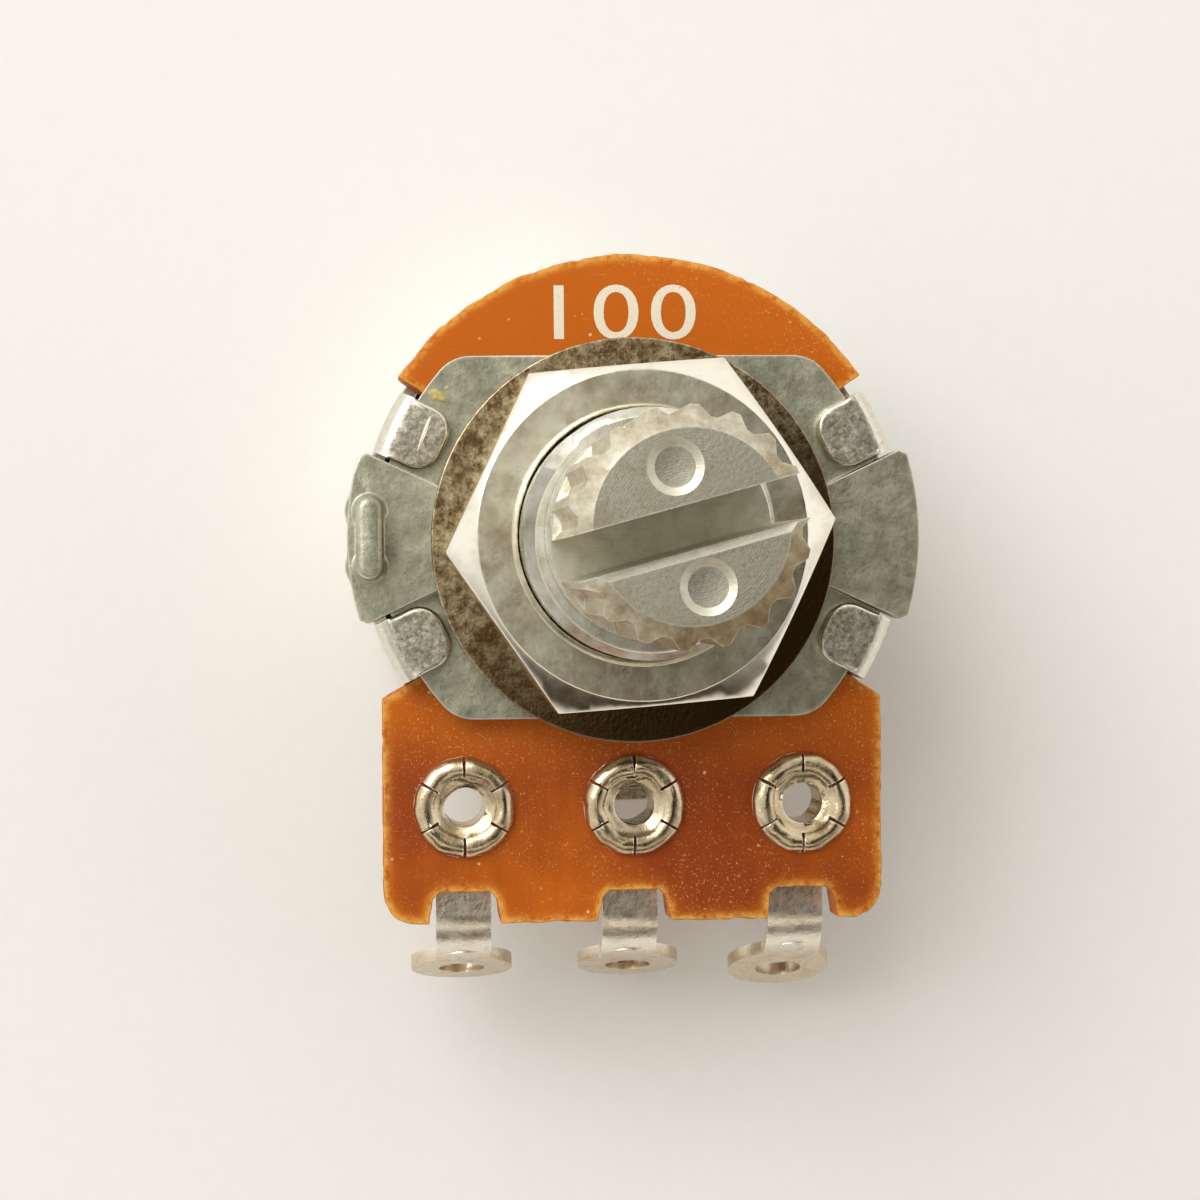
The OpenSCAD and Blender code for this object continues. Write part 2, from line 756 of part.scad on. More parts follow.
// A C-shaped ring that springs into the shaft's groove
module retaining_ring() {
    mouth = groove_r * 1.5;
    color([0.35, 0.35, 0.36]) rotate(shaft_turn)
        translate([0, 0, groove_front - loose / 2 - ring_t]) linear_extrude(ring_t) difference() {
            circle(ring_outer_r);
            circle(groove_r + loose / 2);
            translate([-mouth / 2, -ring_outer_r - cut]) square([mouth, ring_outer_r + cut]);
        }
}

// ---- Rotor and wiper ----

module rotor() {
    color([0.12, 0.12, 0.12]) rotate(shaft_turn) difference() {
        union() {
            translate([0, 0, rotor_back]) cylinder(r = rotor_r, h = rotor_t);
            translate([0, 0, rotor_front - cut / 2])
                cylinder(r = hub_r, h = shoulder_z - rotor_front + cut / 2);
            translate([0, 0, hub_back]) cylinder(r = hub_r + 0.8, h = rear_hub_len + cut / 2);
            translate([0, 0, stop_back]) linear_extrude(rotor_t)
                sector(rotor_r - 1, stop_r, 270 - stop_half_angle, 270 + stop_half_angle);
            for (a = [0, 180]) rotate(a) translate([stake_r, 0, rotor_front - cut / 2]) {
                cylinder(d = stake_d, h = cut / 2 + wiper_t);
                translate([0, 0, cut / 2 + wiper_t]) cylinder(d1 = stake_d + 0.3, d2 = stake_d, h = stake_t);
            }
        }
        translate([0, 0, hub_back - cut]) linear_extrude(shoulder_z - hub_back + 2 * cut)
            double_d(seat_shaft_r + loose / 2, seat_flat + loose / 2);
    }
}

// A stamped spring: a ring staked to the rotor, an arm and two fingers that reach the tracks
module wiper() {
    arm_x = finger_len * cos(finger_slope);
    arm_w = 1.2;
    arm_margin = 0.15;
    ring_r = collector_r - collector_w / 2 - 0.1;
    color([0.78, 0.6, 0.3]) rotate(shaft_turn) {
        translate([0, 0, rotor_front]) linear_extrude(wiper_t) difference() {
            union() {
                circle(ring_r);
                intersection() {
                    circle(track_r + finger_w / 2 + arm_margin);
                    translate([arm_x - 0.05, -arm_w]) square([arm_w, rotor_r + arm_w]);
                }
            }
            circle(hub_r + loose);
            for (a = [0, 180]) rotate(a) translate([stake_r, 0]) circle(d = stake_d + loose);
        }
        for (r = [track_r, collector_r]) translate([arm_x, r, rotor_front]) rotate([0, finger_slope, 0])
            translate([-finger_len, -finger_w / 2, 0]) {
                cube([finger_len, finger_w, wiper_t]);
                translate([0, finger_w, wiper_t - contact_r]) rotate([90, 0, 0])
                    cylinder(r = contact_r, h = finger_w);
            }
    }
}

front_plate();
hex_nut();
flat_washer();
wafer();
resistive_track();
collector_ring();
end_pad_left();
end_pad_right();
terminal_left();
terminal_middle();
terminal_right();
eyelet_left();
eyelet_middle();
eyelet_right();
rear_cover();
shaft();
thrust_washer();
retaining_ring();
rotor();
wiper();
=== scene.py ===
"""A 16 mm rotary potentiometer with a threaded bushing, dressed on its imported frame."""

import math

import bmesh
import bpy
from bpy.props import FloatProperty, FloatVectorProperty, PointerProperty
from mathutils import Euler, Matrix, Vector, noise


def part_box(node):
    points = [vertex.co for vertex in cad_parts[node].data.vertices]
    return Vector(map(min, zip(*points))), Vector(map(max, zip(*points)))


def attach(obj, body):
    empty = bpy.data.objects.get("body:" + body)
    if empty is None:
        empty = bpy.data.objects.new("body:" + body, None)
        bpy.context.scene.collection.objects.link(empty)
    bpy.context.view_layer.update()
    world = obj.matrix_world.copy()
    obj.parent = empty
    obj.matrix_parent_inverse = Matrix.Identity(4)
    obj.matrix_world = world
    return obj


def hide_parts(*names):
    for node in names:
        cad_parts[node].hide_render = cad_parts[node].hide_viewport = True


bl_info = {
    "name": "Rotary potentiometer",
    "version": (1, 0, 0),
    "blender": (4, 5, 0),
    "location": "View3D > Sidebar > Potentiometer",
    "description": "Finishes the pieces of a panel potentiometer and lights them",
    "category": "Object",
}

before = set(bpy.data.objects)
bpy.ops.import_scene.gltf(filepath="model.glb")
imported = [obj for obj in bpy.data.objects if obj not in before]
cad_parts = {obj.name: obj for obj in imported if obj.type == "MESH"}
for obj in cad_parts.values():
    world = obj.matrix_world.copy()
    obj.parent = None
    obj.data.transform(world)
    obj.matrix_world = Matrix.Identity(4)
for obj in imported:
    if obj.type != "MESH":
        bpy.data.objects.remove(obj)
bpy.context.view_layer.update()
MM = 0.001
HOUSING = "housing"
SPINDLE = "spindle"
SIDES = ("left", "middle", "right")

# Linear colours of rubbed and bright metal, some of which are also painted highlights
RUBBED_ZINC_AND_HIGHLIGHT = (0.86, 0.82, 0.7)
CUT_ZINC = (0.86, 0.84, 0.75)
RUBBED_CREST = (0.85, 0.81, 0.68)
RUBBED_NICKEL_AND_HIGHLIGHT = (0.95, 0.91, 0.8)
SCRATCHED_NICKEL = (0.9, 0.86, 0.74)
RUBBED_OXIDE_AND_HIGHLIGHT = (0.66, 0.58, 0.44)
RUBBED_EYELET = (0.98, 0.93, 0.84)
BRIGHT_TIN = (0.9, 0.84, 0.72)
RUBBED_TIN_AND_HIGHLIGHT = (0.98, 0.94, 0.86)
RUBBED_STEEL_AND_HIGHLIGHT = (0.93, 0.89, 0.8)
RUBBED_ALLOY = (0.95, 0.93, 0.84)
RUBBED_KNURL = (0.9, 0.87, 0.76)
BURNISH_AND_HIGHLIGHT_LIGHT = (0.95, 0.93, 0.86)

# Linear colours of shade, dirt and other marks
SCRATCHED_TIN = (0.5, 0.43, 0.3)
# Painted shade on the terminals' solder rings
PAINTED_RING_SHADE = (0.66, 0.56, 0.42)
DRAWN_SHADE = (0.68, 0.65, 0.56)
STEEL_PORES = (0.14, 0.12, 0.09)
BURNISH_AND_HIGHLIGHT_SHADE = (0.72, 0.69, 0.6)
SAWN_SHADE = (0.62, 0.56, 0.44)
BOARD_DUST = (0.84, 0.48, 0.24)
BOARD_FLECKS = (0.9, 0.62, 0.4)
BOARD_SCRATCHES = (0.8, 0.42, 0.16)
LACQUER_SHADE = (0.42, 0.33, 0.09)
LACQUER_LIGHT = (0.66, 0.56, 0.2)

# Light and camera
LAMP_PLACE = (-0.2, 0.22, 0.3)
LAMP_SIZE = 0.3
LAMP_WATTS = 0.96
LAMP_TINT = (0.955, 0.985, 1.0)
CAMERA_PLACE = (-7.819 * MM, -1.228 * MM, 85.110 * MM)
CAMERA_TURN = (-0.371, -4.554, -0.504)
LENS_MM = 88.13
SENSOR_MM = 36


def srgb(red, green, blue):
    """Turns a colour from 0 to 255 a channel, as a screen shows it, into linear values."""
    parts = [c / 255 for c in (red, green, blue)]
    return tuple(c / 12.92 if c <= 0.04045 else ((c + 0.055) / 1.055) ** 2.4 for c in parts)


def length(name, description, mm):
    return FloatProperty(
        name=name, description=description, default=mm * MM, min=0, precision=5, unit="LENGTH"
    )


def colour(name, description, *shade):
    return FloatVectorProperty(
        name=name, description=description, default=srgb(*shade), size=3, min=0, max=1,
        subtype="COLOR",
    )


class POT_PG_sizes(bpy.types.PropertyGroup):
    """Sizes of what the frame leaves to the dressing"""

    thread_pitch: length("Thread pitch", "Pitch of the bushing's thread", 0.75)
    thread_depth: length("Thread depth", "Depth of the bushing's thread", 0.4)
    thread_foot: length("Thread foot", "Height at which the thread starts, over the plate", 0.8)
    bushing_height: length("Bushing height", "Height of the bushing over the plate", 5.0)
    bushing_radius: length("Bushing radius", "Radius outside the bushing's thread", 3.5)
    stamped_edge: length("Stamped edge", "Rounding along the edges of sheet metal", 0.05)
    dipped_edge: length("Dipped edge", "Rounding along the edges of the dipped terminals", 0.1)
    folded_edge: length("Folded edge", "Rounding along the upper edges of the cover's tabs", 0.17)
    petal_edge: length("Petal edge", "Rounding along the edges of the eyelets", 0.025)
    cast_edge: length("Cast edge", "Rounding along the edges of the cast plate", 0.08)
    lug_round: length("Lug rounding", "Rounding along the top of the locating lug", 0.22)
    turned_edge: length("Turned edge", "Rounding along the edges of turned parts", 0.035)
    split_angle: FloatProperty(
        name="Split angle", description="Direction of the split at rest",
        default=math.radians(15), subtype="ANGLE",
    )
    split_width: length("Split width", "Width of the split across the shaft", 1.1)
    split_floor: length("Split floor", "Height of the split's floor over the plate", 7.5)
    knurl_foot: length("Knurl foot", "Height at which the knurl starts, over the plate", 8.0)
    tip_radius: length("Tip radius", "Radius of the flat tip inside its chamfer", 2.42)
    board_edge: length("Board edge", "Rounding along the edges of the phenolic board", 0.04)
    board_fray: length("Board fray", "How deep punching eats into the board's outline", 0.07)
    digit_height: length("Digit height", "Height of the printed resistance", 1.62)
    digit_span: length("Digit span", "Width of the printed resistance", 4.2)
    print_height: length("Print height", "How far the ink stands over the board", 0.012)


class POT_PG_finishes(bpy.types.PropertyGroup):
    """Colours of the finishes"""

    zinc: colour("Zinc", "Cast zinc of the plate and the bushing", 201, 199, 177)
    zinc_shade: colour("Zinc shade", "Duller patches of the zinc", 160, 159, 139)
    nickel: colour("Nickel", "Plating of the nut", 228, 222, 202)
    bright_nickel: colour("Bright nickel", "Turned chamfers of the nut", 246, 240, 224)
    nickel_shade: colour("Nickel shade", "Duller patches of the nut's plating", 178, 166, 140)
    oxide: colour("Oxide", "Dark bronze oxide of the washer", 118, 90, 56)
    # The worn patches also paint the washer's upper left side as lit
    oxide_worn: colour("Worn oxide", "Rubbed patches of the washer", 222, 204, 164)
    board: colour("Board", "Phenolic board", 204, 102, 4)
    board_shade: colour("Board shade", "Darker clouds in the phenolic board", 152, 64, 14)
    board_cut: colour("Board cut", "Punched edges of the phenolic board", 246, 182, 82)
    steel: colour("Steel", "Tinned steel of the cover", 240, 234, 218)
    steel_stain: colour("Steel stain", "Stains on the cover", 150, 138, 112)
    tin: colour("Tin", "Tin on the terminals and the eyelets", 222, 204, 172)
    tin_shade: colour("Tin shade", "Duller patches of the tin", 190, 169, 134)
    alloy: colour("Alloy", "Light alloy of the shaft", 228, 225, 206)
    grime: colour("Grime", "Brown grime between the teeth of the knurl", 158, 134, 96)
    alloy_stain: colour("Alloy stain", "Brown stains on the shaft", 160, 141, 110)
    ink: colour("Ink", "Ink of the printed resistance", 238, 228, 204)
    carbon: colour("Carbon", "Carbon ink of the track", 34, 33, 32)
    silver: colour("Silver", "Silver ink of the collector", 205, 202, 194)
    nylon: colour("Nylon", "Nylon of the thrust washer", 232, 226, 208)
    resin: colour("Resin", "Moulded resin of the rotor", 32, 32, 33)
    bronze: colour("Bronze", "Phosphor bronze of the wiper", 206, 158, 96)
    paper: colour("Paper", "Pale table under the part", 249, 246, 241)


def sizes():
    return bpy.context.scene.pot_sizes


def finishes():
    return bpy.context.scene.pot_finishes


# ---- Finishes ----


class Nodes:
    """Adds nodes to a tree. A value is a socket, a number, a vector, a colour or a material."""

    # The Mix node's colour sockets share their names with its number sockets
    mix_first, mix_second, mix_result = 6, 7, 2

    def __init__(self, tree):
        self.tree = tree

    def plug(self, value, socket):
        if isinstance(value, bpy.types.NodeSocket):
            self.tree.links.new(value, socket)
        elif socket.type == "RGBA":
            socket.default_value = (*value, 1)
        else:
            socket.default_value = value

    def add(self, kind, sockets=None, **settings):
        """A new node. The keys of its sockets are their names or their numbers."""
        node = self.tree.nodes.new(kind)
        for name, value in settings.items():
            setattr(node, name, value)
        for key, value in (sockets or {}).items():
            self.plug(value, node.inputs[key])
        return node

    def mix(self, factor, first, second, mode="MIX"):
        sockets = {"Factor": factor, self.mix_first: first, self.mix_second: second}
        node = self.add("ShaderNodeMix", sockets, data_type="RGBA", blend_type=mode)
        return node.outputs[self.mix_result]

    def maths(self, operation, first, second):
        sockets = {0: first, 1: second}
        return self.add("ShaderNodeMath", sockets, operation=operation, use_clamp=True).outputs[0]

    def times(self, first, second):
        return self.maths("MULTIPLY", first, second)

    def dot(self, first, second):
        sockets = {0: first, 1: second}
        return self.add("ShaderNodeVectorMath", sockets, operation="DOT_PRODUCT").outputs["Value"]

    def reach(self, value, low, high, curve="LINEAR"):
        """0 up to the low value, 1 from the high one on."""
        sockets = {"Value": value, "From Min": low, "From Max": high}
        return self.add("ShaderNodeMapRange", sockets, interpolation_type=curve).outputs["Result"]


class Paint(Nodes):
    """Builds one finish. Pattern sizes are in millimetres on the piece's own coordinates."""

    def __init__(self, name, metallic=0.0, roughness=0.5, ior=1.5):
        self.material = bpy.data.materials.new(name)
        self.material.use_nodes = True
        super().__init__(self.material.node_tree)
        self.shader = self.tree.nodes["Principled BSDF"]
        self.set("Metallic", metallic)
        self.set("Roughness", roughness)
        self.set("IOR", ior)
        self.place = self.add("ShaderNodeTexCoord").outputs["Object"]
        self.relief = None

    def set(self, name, value):
        self.plug(value, self.shader.inputs[name])

    def mapped(self, scale, turn=0.0):
        """The piece's coordinates, turned about the shaft's axis and scaled."""
        sockets = {"Vector": self.place, "Rotation": (0, 0, turn), "Scale": scale}
        return self.add("ShaderNodeMapping", sockets).outputs["Vector"]

    def cloud(self, size, detail=3.0, rough=0.55, offset=0.0, scale=None, warp=0.0, turn=0.0):
        """Soft random patches of about the given size. A scale under 1 draws them out."""
        sockets = {
            "Vector": self.mapped(scale, turn) if scale else self.place, "Scale": 1 / (size * MM),
            "Detail": detail, "Roughness": rough, "W": offset, "Distortion": warp,
        }
        return self.add("ShaderNodeTexNoise", sockets, noise_dimensions="4D").outputs["Fac"]

    def scratches(self, size, angle, offset):
        """Thin long marks that run across the flat faces in one direction."""
        turn = math.radians(angle)
        field = self.cloud(size, 2, 0.5, offset, scale=(0.08, 1, 1), turn=turn)
        return self.ramp(field, (0.66, 0.0), (0.74, 1.0))

    def cells(self, size, offset):
        """Distance to the nearest of scattered points that are about the given size apart."""
        sockets = {"Vector": self.place, "Scale": 1 / (size * MM), "W": offset}
        node = self.add("ShaderNodeTexVoronoi", sockets, voronoi_dimensions="4D")
        return node.outputs["Distance"]

    def rings(self, pitch, warp):
        """Fine circles about the shaft's axis, as a turning tool leaves them."""
        waves_a_unit = 3.2
        sockets = {
            "Vector": self.mapped((1, 1, 0)), "Scale": 1 / (pitch * MM) / waves_a_unit,
            "Distortion": warp, "Detail": 2,
        }
        node = self.add(
            "ShaderNodeTexWave", sockets, wave_type="RINGS", rings_direction="SPHERICAL"
        )
        return node.outputs["Fac"]

    def ramp(self, factor, *stops):
        """Maps a value to greys or colours between two stops."""
        node = self.add("ShaderNodeValToRGB", {"Fac": factor})
        for point, (where, shade) in zip(node.color_ramp.elements, stops):
            point.position = where
            point.color = (*shade, 1) if hasattr(shade, "__len__") else (shade, shade, shade, 1)
        return node.outputs["Color"]

    def over(self, base, mask, shade, share=None):
        """Lays a colour over the base where the mask is white, by a share of the mask."""
        return self.mix(self.times(mask, share) if share else mask, base, shade)

    def edges(self, radius, gain=10.0):
        """White along edges and corners within about the given distance, black on open faces."""
        bevel = self.add("ShaderNodeBevel", {"Radius": radius * MM}, samples=6)
        face = self.add("ShaderNodeNewGeometry")
        level = self.dot(bevel.outputs["Normal"], face.outputs["Normal"])
        return self.times(self.maths("SUBTRACT", 1.0, level), gain)

    def facing(self, low, high):
        """White on faces that look up the shaft's axis, black on those that look sideways."""
        face = self.add("ShaderNodeNewGeometry")
        parts = self.add("ShaderNodeSeparateXYZ", {0: face.outputs["True Normal"]})
        return self.ramp(parts.outputs["Z"], (low, 0.0), (high, 1.0))

    def along(self, direction, low, high):
        """0 to 1 between two distances in millimetres along a direction across the part."""
        return self.reach(self.dot(self.place, (*direction, 0)), low * MM, high * MM, "SMOOTHSTEP")

    def height(self, field, depth):
        """Raises the surface where the field is white, by the given depth in millimetres."""
        node = self.add("ShaderNodeBump", {"Distance": depth * MM, "Height": field})
        if self.relief:
            self.plug(self.relief, node.inputs["Normal"])
        self.relief = node.outputs["Normal"]

    def bumps(self, depth, *cloud):
        """Raises soft random patches by the given depth in millimetres."""
        self.height(self.cloud(*cloud), depth)

    def uneven(self, low, high, *cloud):
        """A roughness that drifts between two values in soft random patches."""
        return self.ramp(self.cloud(*cloud), (0.3, low), (0.7, high))

    def finish(self, base, roughness=None):
        self.set("Base Color", base)
        if roughness:
            self.set("Roughness", roughness)
        if self.relief:
            self.set("Normal", self.relief)
        return self.material


def known(build):
    """The finish of a function, which gives it its name, built when it is first asked for."""
    return bpy.data.materials.get(build.__name__) or build(build.__name__)


def cast_zinc(name):
    """Matt casting skin with duller patches, fine dark specks and rubbed edges, which also carry
    painted highlights.
    """
    paint = Paint(name, metallic=1.0)
    f = finishes()
    patches = paint.ramp(paint.cloud(0.9, 5, 0.66), (0.38, f.zinc_shade), (0.62, f.zinc))
    specks = paint.ramp(paint.cloud(0.09, 2, 0.6, 3.0), (0.3, 0.55), (0.46, 1.0))
    base = paint.mix(0.55, patches, specks, "MULTIPLY")
    # Rubbed edges, lightened also as painted highlights along the rims
    base = paint.over(base, paint.edges(0.12), RUBBED_ZINC_AND_HIGHLIGHT)
    paint.bumps(0.012, 0.16, 4, 0.65, 5.0)
    paint.bumps(0.03, 0.9, 2, 0.5, 6.0)
    return paint.finish(base, paint.uneven(0.34, 0.48, 0.5, 3, 0.6, 9.0))


def thread_zinc(name):
    """Zinc that a die has cut, smoother and brighter than the casting skin."""
    paint = Paint(name, metallic=1.0)
    zinc = finishes().zinc
    base = paint.ramp(paint.cloud(0.8, 4, 0.6, 2.0), (0.35, zinc), (0.6, CUT_ZINC))
    base = paint.over(base, paint.edges(0.08), RUBBED_CREST)
    paint.bumps(0.006, 0.08, 3, 0.6, 7.0)
    return paint.finish(base, paint.uneven(0.24, 0.36, 0.3, 2, 0.5, 4.0))


def nut_faces(name):
    """Dulled nickel with fine scratches."""
    paint = Paint(name, metallic=1.0)
    f = finishes()
    base = paint.ramp(paint.cloud(1.1, 5, 0.62, 1.0), (0.36, f.nickel_shade), (0.6, f.nickel))
    base = paint.over(base, paint.scratches(0.05, 35, 2.0), SCRATCHED_NICKEL, 0.35)
    # Rubbed edges, lightened also as painted highlights
    base = paint.over(base, paint.edges(0.1), RUBBED_NICKEL_AND_HIGHLIGHT)
    paint.bumps(0.006, 0.22, 4, 0.6, 8.0)
    return paint.finish(base, paint.uneven(0.24, 0.38, 0.6, 3, 0.55, 5.0))


def nut_turning(name):
    """Bright nickel on the turned chamfers."""
    paint = Paint(name, metallic=1.0)
    f = finishes()
    base = paint.ramp(paint.cloud(0.7, 4, 0.6, 4.0), (0.32, f.nickel), (0.5, f.bright_nickel))
    paint.bumps(0.001, 0.3, 3, 0.55, 3.0)
    return paint.finish(base, paint.uneven(0.13, 0.19, 0.4, 3, 0.6, 6.0))


def oxidised_washer(name):
    """Glossy dark oxide, worn through in patches, which are kept to the upper left side as painted
    light.
    """
    paint = Paint(name, metallic=0.9)
    f = finishes()
    rubbed = paint.ramp(paint.cloud(0.3, 6, 0.75, 2.5), (0.42, 0.0), (0.64, 1.0))
    # Painted light: the worn patches stay on the upper left side, which makes that side lighter
    rubbed = paint.times(rubbed, paint.along((-0.6, 0.8), -4.5, 2.5))
    base = paint.over(f.oxide, rubbed, f.oxide_worn)
    # Rubbed rim, lightened also as a painted highlight
    base = paint.over(base, paint.edges(0.09), RUBBED_OXIDE_AND_HIGHLIGHT)
    paint.bumps(0.004, 0.12, 4, 0.65)
    return paint.finish(base, paint.ramp(rubbed, (0.0, 0.09), (1.0, 0.24)))


def phenolic_board(name):
    """Phenolic with clouds, dust, flecks and scratches, and with chips along its edges; a painted
    glow lightens its rim and painted shade darkens its terminals' end.
    """
    paint = Paint(name, roughness=0.4, ior=1.55)
    f = finishes()
    clouds = paint.ramp(paint.cloud(4.5, 3, 0.55, 1.5), (0.42, f.board_shade), (0.8, f.board))
    fibre = paint.cloud(0.35, 4, 0.7, 2.0, (1, 0.25, 1))
    base = paint.mix(0.22, clouds, paint.ramp(fibre, (0.3, 0.35), (0.7, 0.75)), "OVERLAY")
    # Painted glow: the board is lighter within about a millimetre of its edges, as if light shone
    # through them
    base = paint.over(base, paint.edges(1.1, 4.8), f.board, 0.8)
    # Painted shade: the darker clouds stay only towards the terminals' end, which darkens the board
    # there
    base = paint.over(base, paint.along((0, 1), -7.5, -4.5), f.board, 0.85)
    dust = paint.ramp(paint.cloud(0.07, 3, 0.75, 4.0), (0.585, 0.0), (0.66, 1.0))
    drift = paint.ramp(paint.cloud(1.7, 3, 0.6, 7.0), (0.36, 0.15), (0.6, 1.0))
    terminal_end = paint.along((0, -1), -6.5, 7)
    arch_corner = paint.along((0.5, 0.87), 5.8, 7.6)
    dusty = paint.maths("MAXIMUM", terminal_end, arch_corner)
    base = paint.over(base, paint.times(paint.times(dust, drift), dusty), BOARD_DUST, 0.8)
    flecks = paint.ramp(paint.cells(0.5, 4.0), (0.07, 1.0), (0.13, 0.0))
    base = paint.over(base, flecks, BOARD_FLECKS, 0.75)
    base = paint.over(base, paint.scratches(0.05, 62, 9.0), BOARD_SCRATCHES, 0.5)
    chipped = paint.ramp(paint.cloud(0.35, 5, 0.74, 11.0), (0.4, 0.0), (0.56, 1.0))
    base = paint.over(base, paint.edges(0.45, 16), f.board_cut, chipped)
    base = paint.over(base, paint.edges(0.12), f.board_cut, 0.7)
    paint.height(fibre, 0.006)
    paint.bumps(0.02, 1.8, 2, 0.5, 3.0)
    paint.set("Specular IOR Level", 0.2)
    paint.set("Coat Weight", 0.03)
    paint.set("Coat Roughness", 0.22)
    return paint.finish(base, paint.ramp(fibre, (0.3, 0.36), (0.7, 0.5)))


def phenolic_cut(name):
    """Punched phenolic: rough layers with pale chips."""
    paint = Paint(name, roughness=0.6, ior=1.55)
    f = finishes()
    layers = paint.cloud(0.3, 4, 0.65, 1.0, (0.35, 0.35, 6))
    chips = paint.ramp(paint.cloud(0.2, 4, 0.7, 6.0), (0.52, 0.0), (0.66, 1.0))
    base = paint.ramp(layers, (0.32, f.board_shade), (0.62, f.board))
    base = paint.over(base, chips, f.board_cut, 0.6)
    paint.height(layers, 0.03)
    paint.bumps(0.03, 0.25, 3, 0.6, 2.0)
    return paint.finish(base)


def tinned_strip(name):
    """Smooth warm tin of the eyelets."""
    paint = Paint(name, metallic=1.0)
    f = finishes()
    base = paint.ramp(paint.cloud(0.7, 4, 0.62, 3.0), (0.36, f.tin_shade), (0.6, f.tin))
    base = paint.over(base, paint.edges(0.07), RUBBED_EYELET)
    paint.bumps(0.018, 0.3, 3, 0.6, 1.0)
    paint.bumps(0.004, 0.07, 2, 0.6, 4.0)
    return paint.finish(base, paint.uneven(0.18, 0.34, 0.45, 3, 0.6, 8.0))


def dipped_tin(name):
    """Uneven scratched tin of the terminals, with painted shade on their solder rings."""
    paint = Paint(name, metallic=0.8)
    tin = finishes().tin
    base = paint.ramp(paint.cloud(0.5, 4, 0.62, 6.0), (0.3, tin), (0.5, BRIGHT_TIN))
    # Rubbed edges, lightened also as painted highlights on the rings' rims
    base = paint.over(base, paint.edges(0.09), RUBBED_TIN_AND_HIGHLIGHT)
    paint.bumps(0.012, 0.16, 4, 0.6, 1.0)
    paint.bumps(0.02, 0.9, 2, 0.5, 5.0)
    base = paint.over(base, paint.scratches(0.04, 20, 2.0), SCRATCHED_TIN, 0.5)
    # Painted shade: the solder rings are darkened
    solder_rings = paint.along((0, -1), 12.2, 12.9)
    base = paint.mix(paint.times(solder_rings, 0.75), base, PAINTED_RING_SHADE, "MULTIPLY")
    return paint.finish(base, paint.uneven(0.2, 0.36, 0.35, 3, 0.6, 8.0))


def drawn_steel(name):
    """Sheet steel, streaked down the drawn walls, stained and pitted on the flat faces."""
    paint = Paint(name, metallic=1.0)
    f = finishes()
    flat = paint.facing(0.9, 0.97)
    drawn = paint.cloud(0.14, 5, 0.7, 3.0, (1, 1, 0.04))
    base = paint.ramp(drawn, (0.3, DRAWN_SHADE), (0.66, f.steel))
    spots = paint.ramp(paint.cloud(1.4, 5, 0.7, 7.0), (0.58, 0.0), (0.66, 0.45))
    base = paint.over(base, spots, f.steel_stain)
    base = paint.over(base, flat, f.steel)
    stain = paint.ramp(paint.cloud(0.22, 6, 0.72, 4.5, warp=0.8), (0.36, 1.0), (0.62, 0.0))
    base = paint.over(base, stain, f.steel_stain, flat)
    pores = paint.ramp(paint.cloud(0.14, 6, 0.75, 8.0, warp=0.6), (0.36, 0.75), (0.6, 0.0))
    base = paint.over(base, pores, STEEL_PORES, flat)
    # Rubbed edges, lightened also as painted highlights on the tabs' bends and ends
    base = paint.over(base, paint.edges(0.1), RUBBED_STEEL_AND_HIGHLIGHT)
    paint.bumps(0.014, 0.35, 3, 0.6, 2.0)
    paint.height(drawn, 0.002)
    paint.bumps(0.06, 2.5, 2, 0.5, 4.0)
    return paint.finish(base, paint.ramp(flat, (0.0, 0.25), (1.0, 0.44)))


def turned_alloy(name):
    """Turned light alloy with brown blots and fine grit."""
    paint = Paint(name, metallic=1.0)
    f = finishes()
    blot = paint.ramp(paint.cloud(1.3, 5, 0.66, 8.2, warp=0.4), (0.42, 1.0), (0.56, 0.0))
    rings = paint.rings(0.07, 0.4)
    base = paint.over(f.alloy, blot, f.alloy_stain, 0.55)
    base = paint.mix(0.04, base, rings, "OVERLAY")
    grit = paint.ramp(paint.cloud(0.07, 3, 0.6, 2.0), (0.34, 0.6), (0.5, 1.0))
    base = paint.mix(0.5, base, grit, "MULTIPLY")
    base = paint.over(base, paint.edges(0.08), RUBBED_ALLOY)
    paint.height(rings, 0.0005)
    paint.bumps(0.006, 0.12, 4, 0.65, 6.0)
    return paint.finish(base, paint.ramp(blot, (0.0, 0.32), (1.0, 0.42)))


def knurled_alloy(name):
    """Knurled alloy with brown grime in long streaks, and painted shade that darkens it to one
    side.
    """
    paint = Paint(name, metallic=1.0)
    f = finishes()
    grime = paint.ramp(paint.cloud(0.4, 4, 0.65, 5.0, (1, 1, 0.12)), (0.34, 1.0), (0.66, 0.0))
    base = paint.over(f.alloy, grime, f.grime, 0.75)
    # Painted shade: the grime colour darkens the knurl towards the lower right
    base = paint.mix(paint.along((0.6, -0.8), -1.5, 4), base, f.grime, "MULTIPLY")
    base = paint.over(base, paint.edges(0.08), RUBBED_KNURL, 0.5)
    paint.bumps(0.008, 0.1, 3, 0.6, 2.0)
    return paint.finish(base, paint.ramp(grime, (0.0, 0.34), (1.0, 0.48)))


def burnished_alloy(name):
    """Bright bands on the neck, as a fine tool leaves them, and a painted highlight on the split's
    lower chamfer.
    """
    paint = Paint(name, metallic=1.0)
    bands = paint.cloud(0.12, 4, 0.6, 1.0, (0.05, 0.05, 1))
    base = paint.ramp(bands, (0.3, BURNISH_AND_HIGHLIGHT_SHADE), (0.66, BURNISH_AND_HIGHLIGHT_LIGHT))
    paint.height(bands, 0.003)
    return paint.finish(base, paint.uneven(0.2, 0.32, 0.4, 3, 0.6, 6.0))


